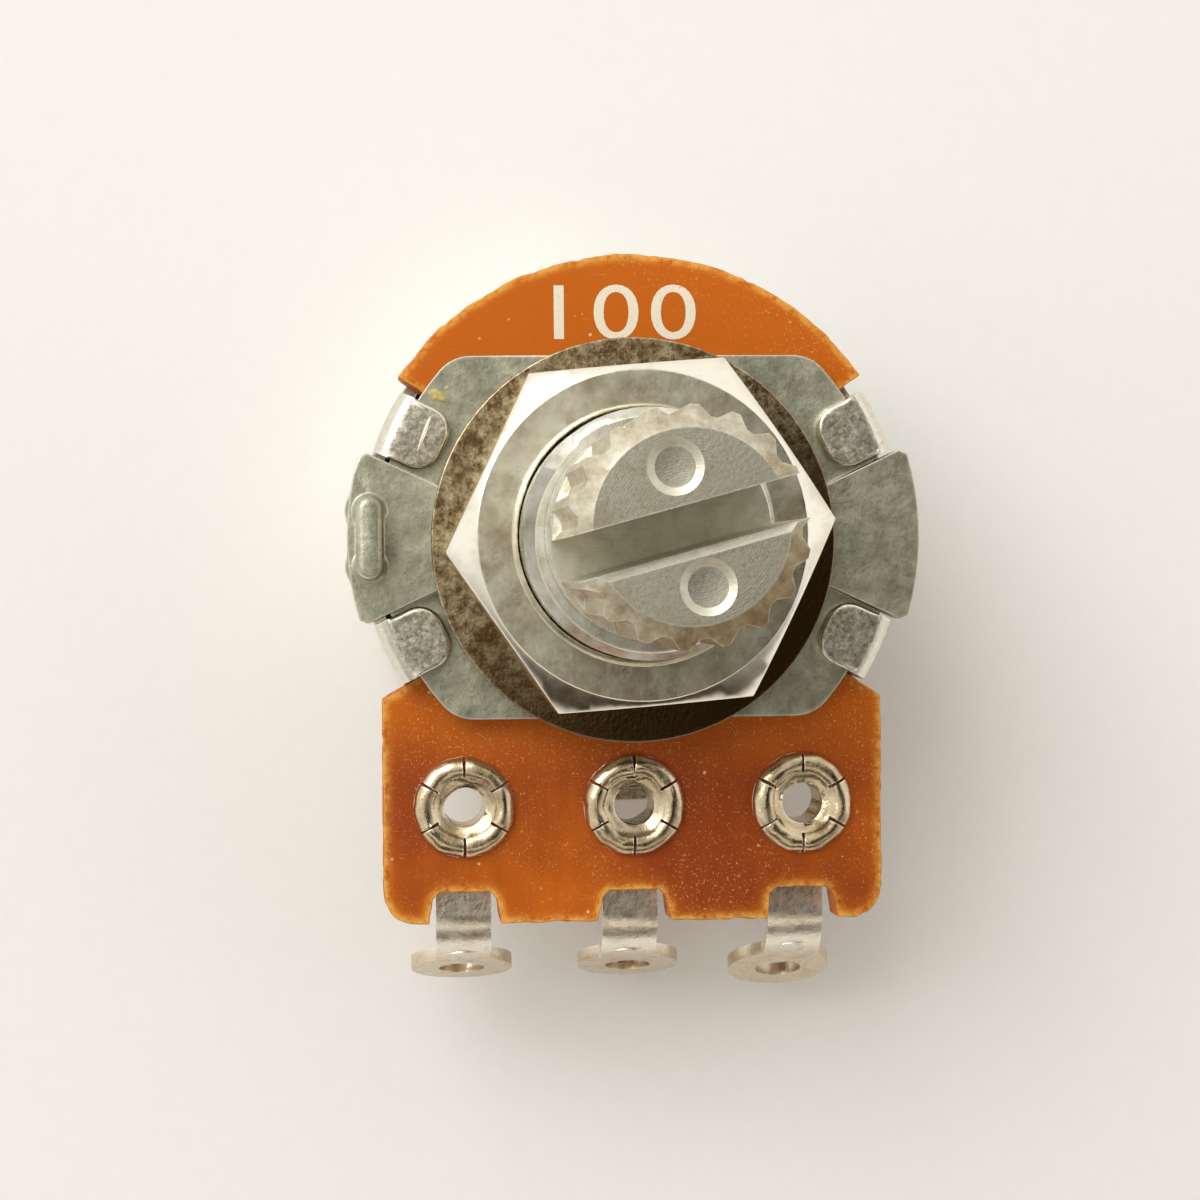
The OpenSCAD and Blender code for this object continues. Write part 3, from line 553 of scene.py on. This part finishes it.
def slot_alloy(name):
    """Sawn walls and floor of the split."""
    paint = Paint(name, metallic=1.0)
    alloy = finishes().alloy
    base = paint.ramp(paint.cloud(0.5, 4, 0.6, 1.0), (0.3, SAWN_SHADE), (0.6, alloy))
    paint.bumps(0.01, 0.1, 3, 0.6, 2.0, (0.15, 1, 1))
    return paint.finish(base, paint.uneven(0.42, 0.56, 0.3, 3, 0.6, 3.0))


def print_ink(name):
    """Pale ink, thin in specks where the board shows through."""
    paint = Paint(name, roughness=0.6)
    thin = paint.ramp(paint.cloud(0.12, 4, 0.7, 3.0), (0.32, 1.0), (0.42, 0.0))
    base = paint.over(finishes().ink, thin, finishes().board, 0.6)
    paint.bumps(0.008, 0.08, 3, 0.6)
    return paint.finish(base)


def yellow_lacquer(name):
    """Clouded yellow lacquer of the drops on the plate."""
    paint = Paint(name, roughness=0.3)
    paint.bumps(0.02, 0.1, 3, 0.6)
    clouds = paint.cloud(0.12, 3, 0.6)
    return paint.finish(paint.ramp(clouds, (0.35, LACQUER_SHADE), (0.65, LACQUER_LIGHT)))


def table_paper(name):
    """Pale paper with a faint grain."""
    paint = Paint(name, roughness=0.8)
    base = paint.mix(0.04, finishes().paper, paint.cloud(0.6, 3, 0.6), "MULTIPLY")
    paint.bumps(0.004, 0.1, 3, 0.6, 2.0)
    return paint.finish(base)


def plain_finish(name, base, metallic, roughness, grain, depth):
    """A quiet finish for the pieces inside: two close tones, fine grain and shallow relief."""
    paint = Paint(name, metallic=metallic)
    dark = [c * 0.72 for c in base]
    field = paint.cloud(grain * 4, 4, 0.6, 1.0)
    paint.bumps(depth, grain, 3, 0.6, 2.0)
    rough = paint.ramp(field, (0.3, roughness * 0.85), (0.7, roughness * 1.15))
    return paint.finish(paint.ramp(field, (0.35, dark), (0.65, base)), rough)


# ---- Shapes ----


def mesh_of(node):
    """A bmesh of a frame node's mesh with its loose triangles joined."""
    same_point, sliver = 1e-7, 1e-8
    shape = bmesh.new()
    shape.from_mesh(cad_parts[node].data)
    bmesh.ops.remove_doubles(shape, verts=shape.verts, dist=same_point)
    bmesh.ops.dissolve_degenerate(shape, dist=sliver, edges=shape.edges)
    return shape


def flatten(shape):
    """Makes flat faces whole."""
    bmesh.ops.dissolve_limit(
        shape, angle_limit=math.radians(0.5), verts=shape.verts, edges=shape.edges
    )


def bevel(shape, edges, width, segments, **choices):
    """Rounds the given edges."""
    bmesh.ops.bevel(
        shape, geom=edges, offset=width, segments=segments, profile=0.5, affect="EDGES", **choices
    )


def soften(shape, width, sharp=34, segments=2):
    """Rounds every edge that turns more than the sharp angle."""
    limit = math.radians(sharp)
    edges = [e for e in shape.edges if len(e.link_faces) == 2 and e.calc_face_angle(0) > limit]
    bevel(
        shape, edges, width, segments, offset_type="OFFSET", clamp_overlap=True,
        harden_normals=False, miter_outer="SHARP", miter_inner="SHARP",
    )


def shift(moves):
    """Moves points, once all the moves are known."""
    for vertex, move in moves:
        vertex.co += move


def dent(shape, grain, depth, seed):
    """Moves points a little along their normals, as pressing and handling leave them."""
    shape.normal_update()
    away = Vector((seed, seed, seed))
    shift([
        (v, noise.noise(v.co / (grain * MM) + away) * depth * MM * v.normal) for v in shape.verts
    ])


def linked(name, data):
    piece = bpy.data.objects.new(name, data)
    bpy.context.scene.collection.objects.link(piece)
    return piece


def as_object(name, shape):
    mesh = bpy.data.meshes.new(name)
    shape.to_mesh(mesh)
    shape.free()
    return linked(name, mesh)


def plain_mesh(piece):
    """A mesh of the piece with its modifiers applied."""
    bpy.context.view_layer.update()
    graph = bpy.context.evaluated_depsgraph_get()
    return bpy.data.meshes.new_from_object(
        piece.evaluated_get(graph), preserve_all_data_layers=True, depsgraph=graph
    )


def baked(piece):
    """Applies the piece's modifiers, so that one plain mesh is left."""
    mesh = plain_mesh(piece)
    old = piece.data
    piece.modifiers.clear()
    piece.data = mesh
    mesh.name = piece.name
    bpy.data.meshes.remove(old)
    return piece


def shade(piece, sharp):
    """Smooth shading, broken at edges that turn more than the sharp angle."""
    piece.data.shade_smooth()
    piece.data.set_sharp_from_angle(angle=math.radians(sharp))


def smooth(piece, sharp=50):
    """Smooth shading with flat faces kept flat, by weighting normals with face area."""
    shade(piece, sharp)
    weigh = piece.modifiers.new("Flat faces", "WEIGHTED_NORMAL")
    weigh.keep_sharp = True
    weigh.weight = 90
    return baked(piece)


def dress(piece, body, slot, *materials):
    """Gives a piece its finishes in the order of its faces' numbers, and its body; the slot is not
    used.
    """
    numbers = [0] * len(piece.data.polygons)
    piece.data.polygons.foreach_get("material_index", numbers)
    piece.data.materials.clear()
    for material in materials:
        piece.data.materials.append(material)
    piece.data.polygons.foreach_set("material_index", numbers)
    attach(piece, body)
    return piece


def softened(
    node, name, width, slot, *materials,
    body=HOUSING, sharp=34, segments=2, first=None, dents=None, pick=None,
):
    """A finished copy of a frame node with rounded edges, which stands in the node's place.

    Before the rounding, first works on the shape. After it, dents says how the shape is dented,
    and pick gives each face the number of its finish.
    """
    shape = mesh_of(node)
    flatten(shape)
    if first:
        first(shape)
    soften(shape, width, sharp, segments)
    if dents:
        dent(shape, *dents)
    if pick:
        for face in shape.faces:
            face.material_index = pick(face)
    piece = smooth(as_object(name, shape))
    dress(piece, body, slot, *materials)
    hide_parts(node)
    return piece


def coat(node, material):
    """Gives a finish to a frame node that keeps its own mesh."""
    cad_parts[node].data.materials.clear()
    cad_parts[node].data.materials.append(material)


class Tree(Nodes):
    """A Geometry Nodes tree with named inputs that ends in real geometry and a material."""

    def __init__(self, name):
        super().__init__(bpy.data.node_groups.new(name, "GeometryNodeTree"))
        self.tree.interface.new_socket(
            "Geometry", in_out="OUTPUT", socket_type="NodeSocketGeometry"
        )
        self.inputs = {}

    def number(self, name, value):
        socket = self.tree.interface.new_socket(name, in_out="INPUT", socket_type="NodeSocketFloat")
        socket.default_value = value
        self.inputs[socket.identifier] = value

    def source(self):
        return self.add("NodeGroupInput").outputs

    def close(self, geometry, material):
        whole = self.add("GeometryNodeRealizeInstances", {"Geometry": geometry}).outputs[0]
        done = self.add("GeometryNodeSetMaterial", {"Geometry": whole, "Material": material})
        self.add("NodeGroupOutput", {0: done.outputs[0]})

    def make(self, name):
        piece = linked(name, bpy.data.meshes.new(name))
        modifier = piece.modifiers.new(name, "NODES")
        modifier.node_group = self.tree
        for identifier, value in self.inputs.items():
            modifier[identifier] = value
        return baked(piece)


# ---- Pieces ----


class Piece:
    """What every operator shares"""

    bl_options = {"REGISTER", "UNDO"}


def thread_cutter(material):
    """The groove of the bushing's thread: a pointed bar swept along a helix."""
    s = sizes()
    turns_past_top = 0.6
    outside = 0.03 * MM
    half_width_in_pitch = 0.46
    steps_a_turn = 72
    turns = (s.bushing_height - s.thread_foot) / s.thread_pitch + turns_past_top
    tree = Tree("Thread groove")
    tree.number("Radius", s.bushing_radius + outside)
    tree.number("Turns", turns)
    tree.number("Height", turns * s.thread_pitch)
    tree.number("Foot", s.thread_foot)
    tree.number("Depth", s.thread_depth)
    tree.number("Half width", s.thread_pitch * half_width_in_pitch)
    given = tree.source()
    path = tree.add("GeometryNodeCurveSpiral", {
        "Resolution": steps_a_turn, "Rotations": given["Turns"], "Start Radius": given["Radius"],
        "End Radius": given["Radius"], "Height": given["Height"],
    })
    upright = tree.add("GeometryNodeSetCurveNormal", {"Curve": path.outputs[0]}, mode="Z_UP")
    lift = tree.add("ShaderNodeCombineXYZ", {"Z": given["Foot"]})
    placed = tree.add(
        "GeometryNodeSetPosition", {"Geometry": upright.outputs[0], "Offset": lift.outputs[0]}
    )
    bar = tree.add("GeometryNodeCurvePrimitiveCircle", {"Resolution": 4, "Radius": 1.0})
    size = tree.add(
        "ShaderNodeCombineXYZ", {"X": given["Depth"], "Y": given["Half width"], "Z": 1.0}
    )
    shaped = tree.add(
        "GeometryNodeTransform", {"Geometry": bar.outputs[0], "Scale": size.outputs[0]}
    )
    swept = tree.add("GeometryNodeCurveToMesh", {
        "Curve": placed.outputs[0], "Profile Curve": shaped.outputs[0], "Fill Caps": True,
    })
    tree.close(swept.outputs[0], material)
    return tree.make("thread_groove")


def plain_bushing(shape):
    """Fills the frame's ring grooves, so that the true thread can be cut."""
    s = sizes()
    lowest, highest, inner = 0.4 * MM, s.bushing_height - 0.3 * MM, 3 * MM
    for vertex in shape.verts:
        across = vertex.co.xy.length
        if lowest < vertex.co.z < highest and inner < across < s.bushing_radius:
            vertex.co.xy *= s.bushing_radius / across


def round_lug(shape):
    """Rounds the top of the locating lug, at the left end of the plate."""
    left_end, under_top, sharp = -7 * MM, 1.2 * MM, 0.6
    rim = [
        e for e in shape.edges
        if all(v.co.x < left_end and v.co.z > under_top for v in e.verts)
        and e.calc_face_angle(0) > sharp
    ]
    bevel(shape, rim, sizes().lug_round, 4, clamp_overlap=True)


def cut_thread(piece, cutter):
    """Cuts the thread with the groove, which isn't kept."""
    cut = piece.modifiers.new("Thread", "BOOLEAN")
    cut.operation = "DIFFERENCE"
    cut.solver = "EXACT"
    cut.object = cutter
    baked(piece)
    bpy.data.objects.remove(cutter)


def number_bushing(piece):
    """Gives the bushing's faces the number of the second finish."""
    over_plate, outside = 0.1 * MM, sizes().bushing_radius + 0.1 * MM
    shape = bmesh.new()
    shape.from_mesh(piece.data)
    for face in shape.faces:
        middle = face.calc_center_median()
        face.material_index = int(middle.z > over_plate and middle.xy.length < outside)
    shape.to_mesh(piece.data)
    shape.free()


class POT_OT_plate(Piece, bpy.types.Operator):
    """Casts the plate and its bushing, and cuts the bushing's thread"""

    bl_idname = "pot.plate"
    bl_label = "Plate and threaded bushing"

    def execute(self, context):
        zinc, thread = known(cast_zinc), known(thread_zinc)
        shape = mesh_of("front_plate")
        plain_bushing(shape)
        flatten(shape)
        round_lug(shape)
        soften(shape, sizes().cast_edge)
        piece = as_object("front_plate_cast", shape)
        cut_thread(piece, thread_cutter(thread))
        number_bushing(piece)
        smooth(piece, sharp=40)
        dress(piece, HOUSING, "zinc_casting", zinc, thread)
        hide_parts("front_plate")
        return {"FINISHED"}


def on_chamfer(face):
    """Whether a face of the nut belongs to its turned chamfers."""
    steepest, flattest, corners = 0.2, 0.95, 5.7 * MM
    return (
        steepest < abs(face.normal.z) < flattest
        and face.calc_center_median().xy.length < corners
    )


class POT_OT_nut(Piece, bpy.types.Operator):
    """Finishes the hexagon nut: pressed faces, turned chamfers"""

    bl_idname = "pot.nut"
    bl_label = "Hexagon nut"

    def execute(self, context):
        softened(
            "hex_nut", "hex_nut_plated", sizes().turned_edge, "nut_plating",
            known(nut_faces), known(nut_turning), sharp=20, pick=on_chamfer,
        )
        return {"FINISHED"}


class POT_OT_washer(Piece, bpy.types.Operator):
    """Finishes the flat washer under the nut"""

    bl_idname = "pot.washer"
    bl_label = "Flat washer"

    def execute(self, context):
        softened(
            "flat_washer", "flat_washer_oxidised", sizes().stamped_edge, "washer_oxide",
            known(oxidised_washer),
        )
        return {"FINISHED"}


def on_wall(face):
    """Whether a face of the board stands upright."""
    return abs(face.normal.z) < 0.5


def fray(shape):
    """Eats a little into the board's outline, as punching leaves it."""
    step, level, hole = 0.25 * MM, 0.001 * MM, 7 * MM
    coarse_grain, fine_grain, away = 1.1 * MM, 0.35 * MM, Vector((9, 9, 9))
    shape.normal_update()
    walls = [f for f in shape.faces if on_wall(f)]
    rims = {
        e for f in walls for e in f.edges if abs(e.verts[0].co.z - e.verts[1].co.z) < level
    }
    for edge in sorted(rims, key=lambda e: e.index):
        for left in range(int(edge.calc_length() / step), 0, -1):
            bmesh.utils.edge_split(edge, edge.verts[0], 1 / (left + 1))
    bmesh.ops.triangulate(shape, faces=walls)
    shape.normal_update()
    moves = []
    for vertex in shape.verts:
        out = sum((f.normal for f in vertex.link_faces if on_wall(f)), Vector())
        if out.length > 0 and vertex.co.xy.length > hole:
            coarse = abs(noise.noise(vertex.co / coarse_grain))
            fine = max(0.0, noise.noise(vertex.co / fine_grain + away))
            share = min(1.0, coarse * 0.8 + fine * 1.2)
            moves.append((vertex, -out.normalized() * sizes().board_fray * share))
    shift(moves)


class POT_OT_wafer(Piece, bpy.types.Operator):
    """Finishes the phenolic board with its punched edges"""

    bl_idname = "pot.wafer"
    bl_label = "Phenolic board"

    def execute(self, context):
        softened(
            "wafer", "wafer_punched", sizes().board_edge, "phenolic",
            known(phenolic_board), known(phenolic_cut), first=fray, pick=on_wall,
        )
        return {"FINISHED"}


def lettering(words, spacing):
    """A mesh of the words in the built-in font, one unit thick."""
    text = bpy.data.curves.new("digits", "FONT")
    text.body = words
    text.align_x = "CENTER"
    text.align_y = "CENTER"
    text.space_character = spacing
    text.extrude = 0.5
    text.resolution_u = 6
    sign = linked("lettering", text)
    mesh = plain_mesh(sign)
    bpy.data.objects.remove(sign)
    return mesh


class POT_OT_digits(Piece, bpy.types.Operator):
    """Prints a plain resistance on the arched end of the board"""

    bl_idname = "pot.digits"
    bl_label = "Printed resistance"

    def execute(self, context):
        s = sizes()
        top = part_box("wafer")[1].z
        place = (-0.14 * MM, 6.63 * MM, top)
        mesh = lettering("100", spacing=1.12)
        low = Vector(min(v.co[i] for v in mesh.vertices) for i in range(3))
        high = Vector(max(v.co[i] for v in mesh.vertices) for i in range(3))
        span = high - low
        scale = Vector((s.digit_span / span.x, s.digit_height / span.y, s.print_height / span.z))
        middle = (low + high) / 2
        for vertex in mesh.vertices:
            vertex.co = [(vertex.co[i] - middle[i]) * scale[i] + place[i] for i in range(3)]
        piece = linked("printed_resistance", mesh)
        dress(piece, HOUSING, "phenolic", known(print_ink))
        return {"FINISHED"}


class POT_OT_tracks(Piece, bpy.types.Operator):
    """Finishes the printed track, ring and pads on the back of the board"""

    bl_idname = "pot.tracks"
    bl_label = "Printed tracks"

    def execute(self, context):
        f = finishes()
        coat("resistive_track", plain_finish("carbon_print", f.carbon, 0.0, 0.5, 0.08, 0.004))
        silver = plain_finish("silver_print", f.silver, 0.8, 0.42, 0.06, 0.004)
        for node in ("collector_ring", "end_pad_left", "end_pad_right"):
            coat(node, silver)
        return {"FINISHED"}


class POT_OT_terminals(Piece, bpy.types.Operator):
    """Tins the three terminals"""

    bl_idname = "pot.terminals"
    bl_label = "Terminals"

    def execute(self, context):
        for side in SIDES:
            softened(
                "terminal_" + side, "terminal_%s_tinned" % side, sizes().dipped_edge,
                "tinned_brass", known(dipped_tin), segments=3,
            )
        return {"FINISHED"}


class POT_OT_eyelets(Piece, bpy.types.Operator):
    """Tins the three split eyelets and dents each in its own way"""

    bl_idname = "pot.eyelets"
    bl_label = "Eyelets"

    def execute(self, context):
        grain, depth, seeds_apart = 0.45, 0.05, 3.7
        for number, side in enumerate(SIDES):
            softened(
                "eyelet_" + side, "eyelet_%s_tinned" % side, sizes().petal_edge,
                "tinned_brass", known(tinned_strip), sharp=40,
                dents=(grain, depth, seeds_apart * number),
            )
        return {"FINISHED"}


def round_tabs(shape):
    """Rounds the upper edges of the cover's folded tabs, whose tops are at height 0."""
    under_top, sharp = -0.01 * MM, math.radians(60)
    rims = [
        e for e in shape.edges
        if all(v.co.z > under_top for v in e.verts) and e.calc_face_angle(0) > sharp
    ]
    bevel(shape, rims, sizes().folded_edge, 4, clamp_overlap=False)


class POT_OT_cover(Piece, bpy.types.Operator):
    """Finishes the drawn cover with its four folded tabs"""

    bl_idname = "pot.cover"
    bl_label = "Rear cover"

    def execute(self, context):
        softened(
            "rear_cover", "rear_cover_drawn", sizes().stamped_edge, "cover_steel",
            known(drawn_steel), first=round_tabs,
        )
        return {"FINISHED"}


def shaft_zone(face):
    """0 turned, 1 sawn: split and dimples, 2 knurl and tip's chamfer, 3 neck and split's chamfer"""
    turned, sawn, knurled, burnish_and_highlight = range(4)
    s = sizes()
    floor_play, wall_play = 0.1 * MM, 0.02 * MM
    chamfer_foot, chamfer_band, chamfer_lean = 14.7 * MM, 1.0 * MM, 0.4
    inside_bushing, dimple_floor, level = 1 * MM, 14.8 * MM, 0.995
    untwist = Matrix.Rotation(-s.split_angle, 3, "Z")
    middle = untwist @ face.calc_center_median()
    lean = (untwist @ face.normal).y
    if middle.z > s.split_floor - floor_play and abs(middle.y) < s.split_width / 2 + wall_play:
        return sawn
    # Painted highlight: the split's lower chamfer, which faces the light, takes the bright finish
    if middle.z > chamfer_foot and -chamfer_band < middle.y < 0 and lean > chamfer_lean:
        return burnish_and_highlight
    if s.bushing_height - inside_bushing < middle.z < s.knurl_foot:
        return burnish_and_highlight
    across = middle.xy.length
    if middle.z > dimple_floor and across < s.tip_radius and face.normal.z < level:
        return sawn
    return knurled if across > s.tip_radius and middle.z > s.knurl_foot else turned


class POT_OT_shaft(Piece, bpy.types.Operator):
    """Finishes the knurled, split shaft"""

    bl_idname = "pot.shaft"
    bl_label = "Knurled shaft"

    def execute(self, context):
        softened(
            "shaft", "shaft_turned", sizes().turned_edge, "shaft_metal",
            known(turned_alloy), known(slot_alloy), known(knurled_alloy), known(burnished_alloy),
            body=SPINDLE, sharp=25, pick=shaft_zone,
        )
        return {"FINISHED"}


class POT_OT_inside(Piece, bpy.types.Operator):
    """Finishes the pieces inside: thrust washer, retaining ring, rotor and wiper"""

    bl_idname = "pot.inside"
    bl_label = "Pieces inside"

    def execute(self, context):
        f = finishes()
        coat("thrust_washer", plain_finish("moulded_nylon", f.nylon, 0.0, 0.45, 0.1, 0.004))
        coat("retaining_ring", plain_finish("ring_steel", f.steel_stain, 1.0, 0.3, 0.08, 0.004))
        coat("rotor", plain_finish("moulded_resin", f.resin, 0.0, 0.4, 0.12, 0.008))
        coat("wiper", plain_finish("rolled_bronze", f.bronze, 1.0, 0.28, 0.1, 0.004))
        return {"FINISHED"}


def blob(name, slot, material, place, size, angle, ripple, seed):
    """A small raised mark with an uneven outline on an upward face, placed in millimetres."""
    steps, rows = 28, 5
    long, wide, high = (value * MM for value in size)
    shape = bmesh.new()
    rings = []
    for row in range(rows):
        tilt = row / rows * math.pi / 2
        ring = []
        for i in range(steps):
            a = 2 * math.pi * i / steps
            waves = 0.6 * math.sin(2 * a + seed) + 0.4 * math.sin(5 * a + 2.3 * seed)
            wave = 1 + ripple * waves / 2
            x = math.cos(a) * math.cos(tilt) * long / 2
            y = math.sin(a) * math.cos(tilt) * wide / 2
            ring.append(shape.verts.new((x * wave, y * wave, math.sin(tilt) * high)))
        rings.append(ring)
    top = shape.verts.new((0, 0, high))
    for lower, upper in zip(rings, rings[1:]):
        for i in range(steps):
            after = (i + 1) % steps
            shape.faces.new((lower[i], lower[after], upper[after], upper[i]))
    for i in range(steps):
        shape.faces.new((rings[-1][i], rings[-1][(i + 1) % steps], top))
    shape.faces.new(reversed(rings[0]))
    centre = Matrix.Translation([value * MM for value in place])
    bmesh.ops.transform(shape, matrix=centre @ Matrix.Rotation(angle, 4, "Z"), verts=shape.verts)
    piece = as_object(name, shape)
    shade(piece, sharp=60)
    return dress(piece, HOUSING, slot, material)


class POT_OT_marks(Piece, bpy.types.Operator):
    """Adds the small marks of making: the crease on a tab, a drop and a speck of lacquer"""

    bl_idname = "pot.marks"
    bl_label = "Small marks"

    def execute(self, context):
        lacquer = known(yellow_lacquer)
        in_tab, in_plate = -0.02, -0.46
        blob(
            "tab_crease", "cover_steel", known(drawn_steel), place=(-6.1, 3.01, in_tab),
            size=(1.12, 0.15, 0.08), angle=math.radians(69), ripple=0.1, seed=1.0,
        )
        blob(
            "lacquer_drop", "zinc_casting", lacquer, place=(-5.7, 4.15, in_plate),
            size=(0.5, 0.34, 0.07), angle=math.radians(-20), ripple=0.5, seed=2.0,
        )
        blob(
            "lacquer_speck", "zinc_casting", lacquer, place=(-5.42, 4.36, in_plate),
            size=(0.17, 0.13, 0.04), angle=0.4, ripple=0.5, seed=4.0,
        )
        return {"FINISHED"}


# ---- Stage ----


def sky():
    """A pale room that is dark in places, so that metal has something to show.

    The ceiling is cream and turns dark to the front right. The walls are white and turn brown to
    the front, where a warm panel hangs high up. Round the horizon and below it all is pale.
    """
    cream, dark = (0.8, 0.77, 0.69), (0.012, 0.008, 0.004)
    brown, white = (0.05, 0.035, 0.022), (1.06, 1.05, 1.02)
    warm, pale = (1.0, 0.9, 0.76), (0.98, 0.94, 0.88)
    front_right = (0.8, -0.6, 0)
    world = bpy.data.worlds.new("pale_room")
    bpy.context.scene.world = world
    world.use_nodes = True
    nodes = Nodes(world.node_tree)
    view = nodes.add("ShaderNodeTexCoord").outputs["Generated"]
    parts = nodes.add("ShaderNodeSeparateXYZ", {0: view})
    back, up = parts.outputs["Y"], parts.outputs["Z"]
    ceiling = nodes.mix(nodes.reach(nodes.dot(view, front_right), -0.03, 0.09), cream, dark)
    walls = nodes.mix(nodes.reach(back, -0.75, -0.05), brown, white)
    room = nodes.mix(nodes.reach(up, 0.6, 0.86), walls, ceiling)
    panel = nodes.times(nodes.reach(back, -0.4, -0.5), nodes.reach(up, 0.64, 0.72))
    room = nodes.mix(panel, room, warm)
    room = nodes.mix(nodes.reach(up, 0.16, 0.36), pale, room)
    background = world.node_tree.nodes["Background"]
    nodes.plug(room, background.inputs["Color"])
    nodes.plug(1.0, background.inputs["Strength"])


def lamp():
    """A square window that looks at the part."""
    light = bpy.data.lights.new("window", "AREA")
    light.shape = "SQUARE"
    light.size = LAMP_SIZE
    light.energy = LAMP_WATTS
    light.color = LAMP_TINT
    window = linked("window", light)
    window.location = LAMP_PLACE
    window.rotation_euler = (-Vector(LAMP_PLACE)).to_track_quat("-Z", "Y").to_euler()


def camera():
    """The camera, nearly straight above the part."""
    lens = bpy.data.cameras.new("camera")
    lens.lens = LENS_MM
    lens.sensor_width = SENSOR_MM
    lens.clip_start = 0.001
    lens.clip_end = 20
    body = linked("camera", lens)
    body.location = CAMERA_PLACE
    body.rotation_euler = Euler([math.radians(a) for a in CAMERA_TURN], "XYZ")
    bpy.context.scene.camera = body


class POT_OT_stage(Piece, bpy.types.Operator):
    """Sets up the table, the light and the camera"""

    bl_idname = "pot.stage"
    bl_label = "Table, light and camera"

    def execute(self, context):
        half_table, gap = 0.6, 0.002 * MM
        floor_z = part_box("rear_cover")[0].z
        shape = bmesh.new()
        bmesh.ops.create_grid(shape, x_segments=4, y_segments=4, size=half_table)
        bmesh.ops.translate(shape, verts=shape.verts, vec=(0, 0, floor_z - gap))
        floor = as_object("table", shape)
        floor.data.materials.append(known(table_paper))
        sky()
        lamp()
        camera()
        context.scene.view_settings.view_transform = "Standard"
        return {"FINISHED"}


class POT_PT_panel(bpy.types.Panel):
    """Lists the sizes, the colours and the steps"""

    bl_idname = "POT_PT_panel"
    bl_label = "Potentiometer"
    bl_space_type = "VIEW_3D"
    bl_region_type = "UI"
    bl_category = "Potentiometer"

    def draw(self, context):
        column = self.layout.column()
        for group in (context.scene.pot_sizes, context.scene.pot_finishes):
            for name in group.__annotations__:
                column.prop(group, name)
        for step in STEPS:
            column.operator(step.bl_idname)


STEPS = (
    POT_OT_stage, POT_OT_plate, POT_OT_nut, POT_OT_washer, POT_OT_wafer, POT_OT_digits,
    POT_OT_tracks, POT_OT_terminals, POT_OT_eyelets, POT_OT_cover, POT_OT_shaft, POT_OT_inside,
    POT_OT_marks,
)
CLASSES = (POT_PG_sizes, POT_PG_finishes, *STEPS, POT_PT_panel)


def register():
    for part in CLASSES:
        bpy.utils.register_class(part)
    bpy.types.Scene.pot_sizes = PointerProperty(type=POT_PG_sizes)
    bpy.types.Scene.pot_finishes = PointerProperty(type=POT_PG_finishes)


def unregister():
    del bpy.types.Scene.pot_sizes
    del bpy.types.Scene.pot_finishes
    for part in reversed(CLASSES):
        bpy.utils.unregister_class(part)


def main():
    register()
    for step in STEPS:
        group, name = step.bl_idname.split(".")
        getattr(getattr(bpy.ops, group), name)()


if __name__ == "__main__":
    main()
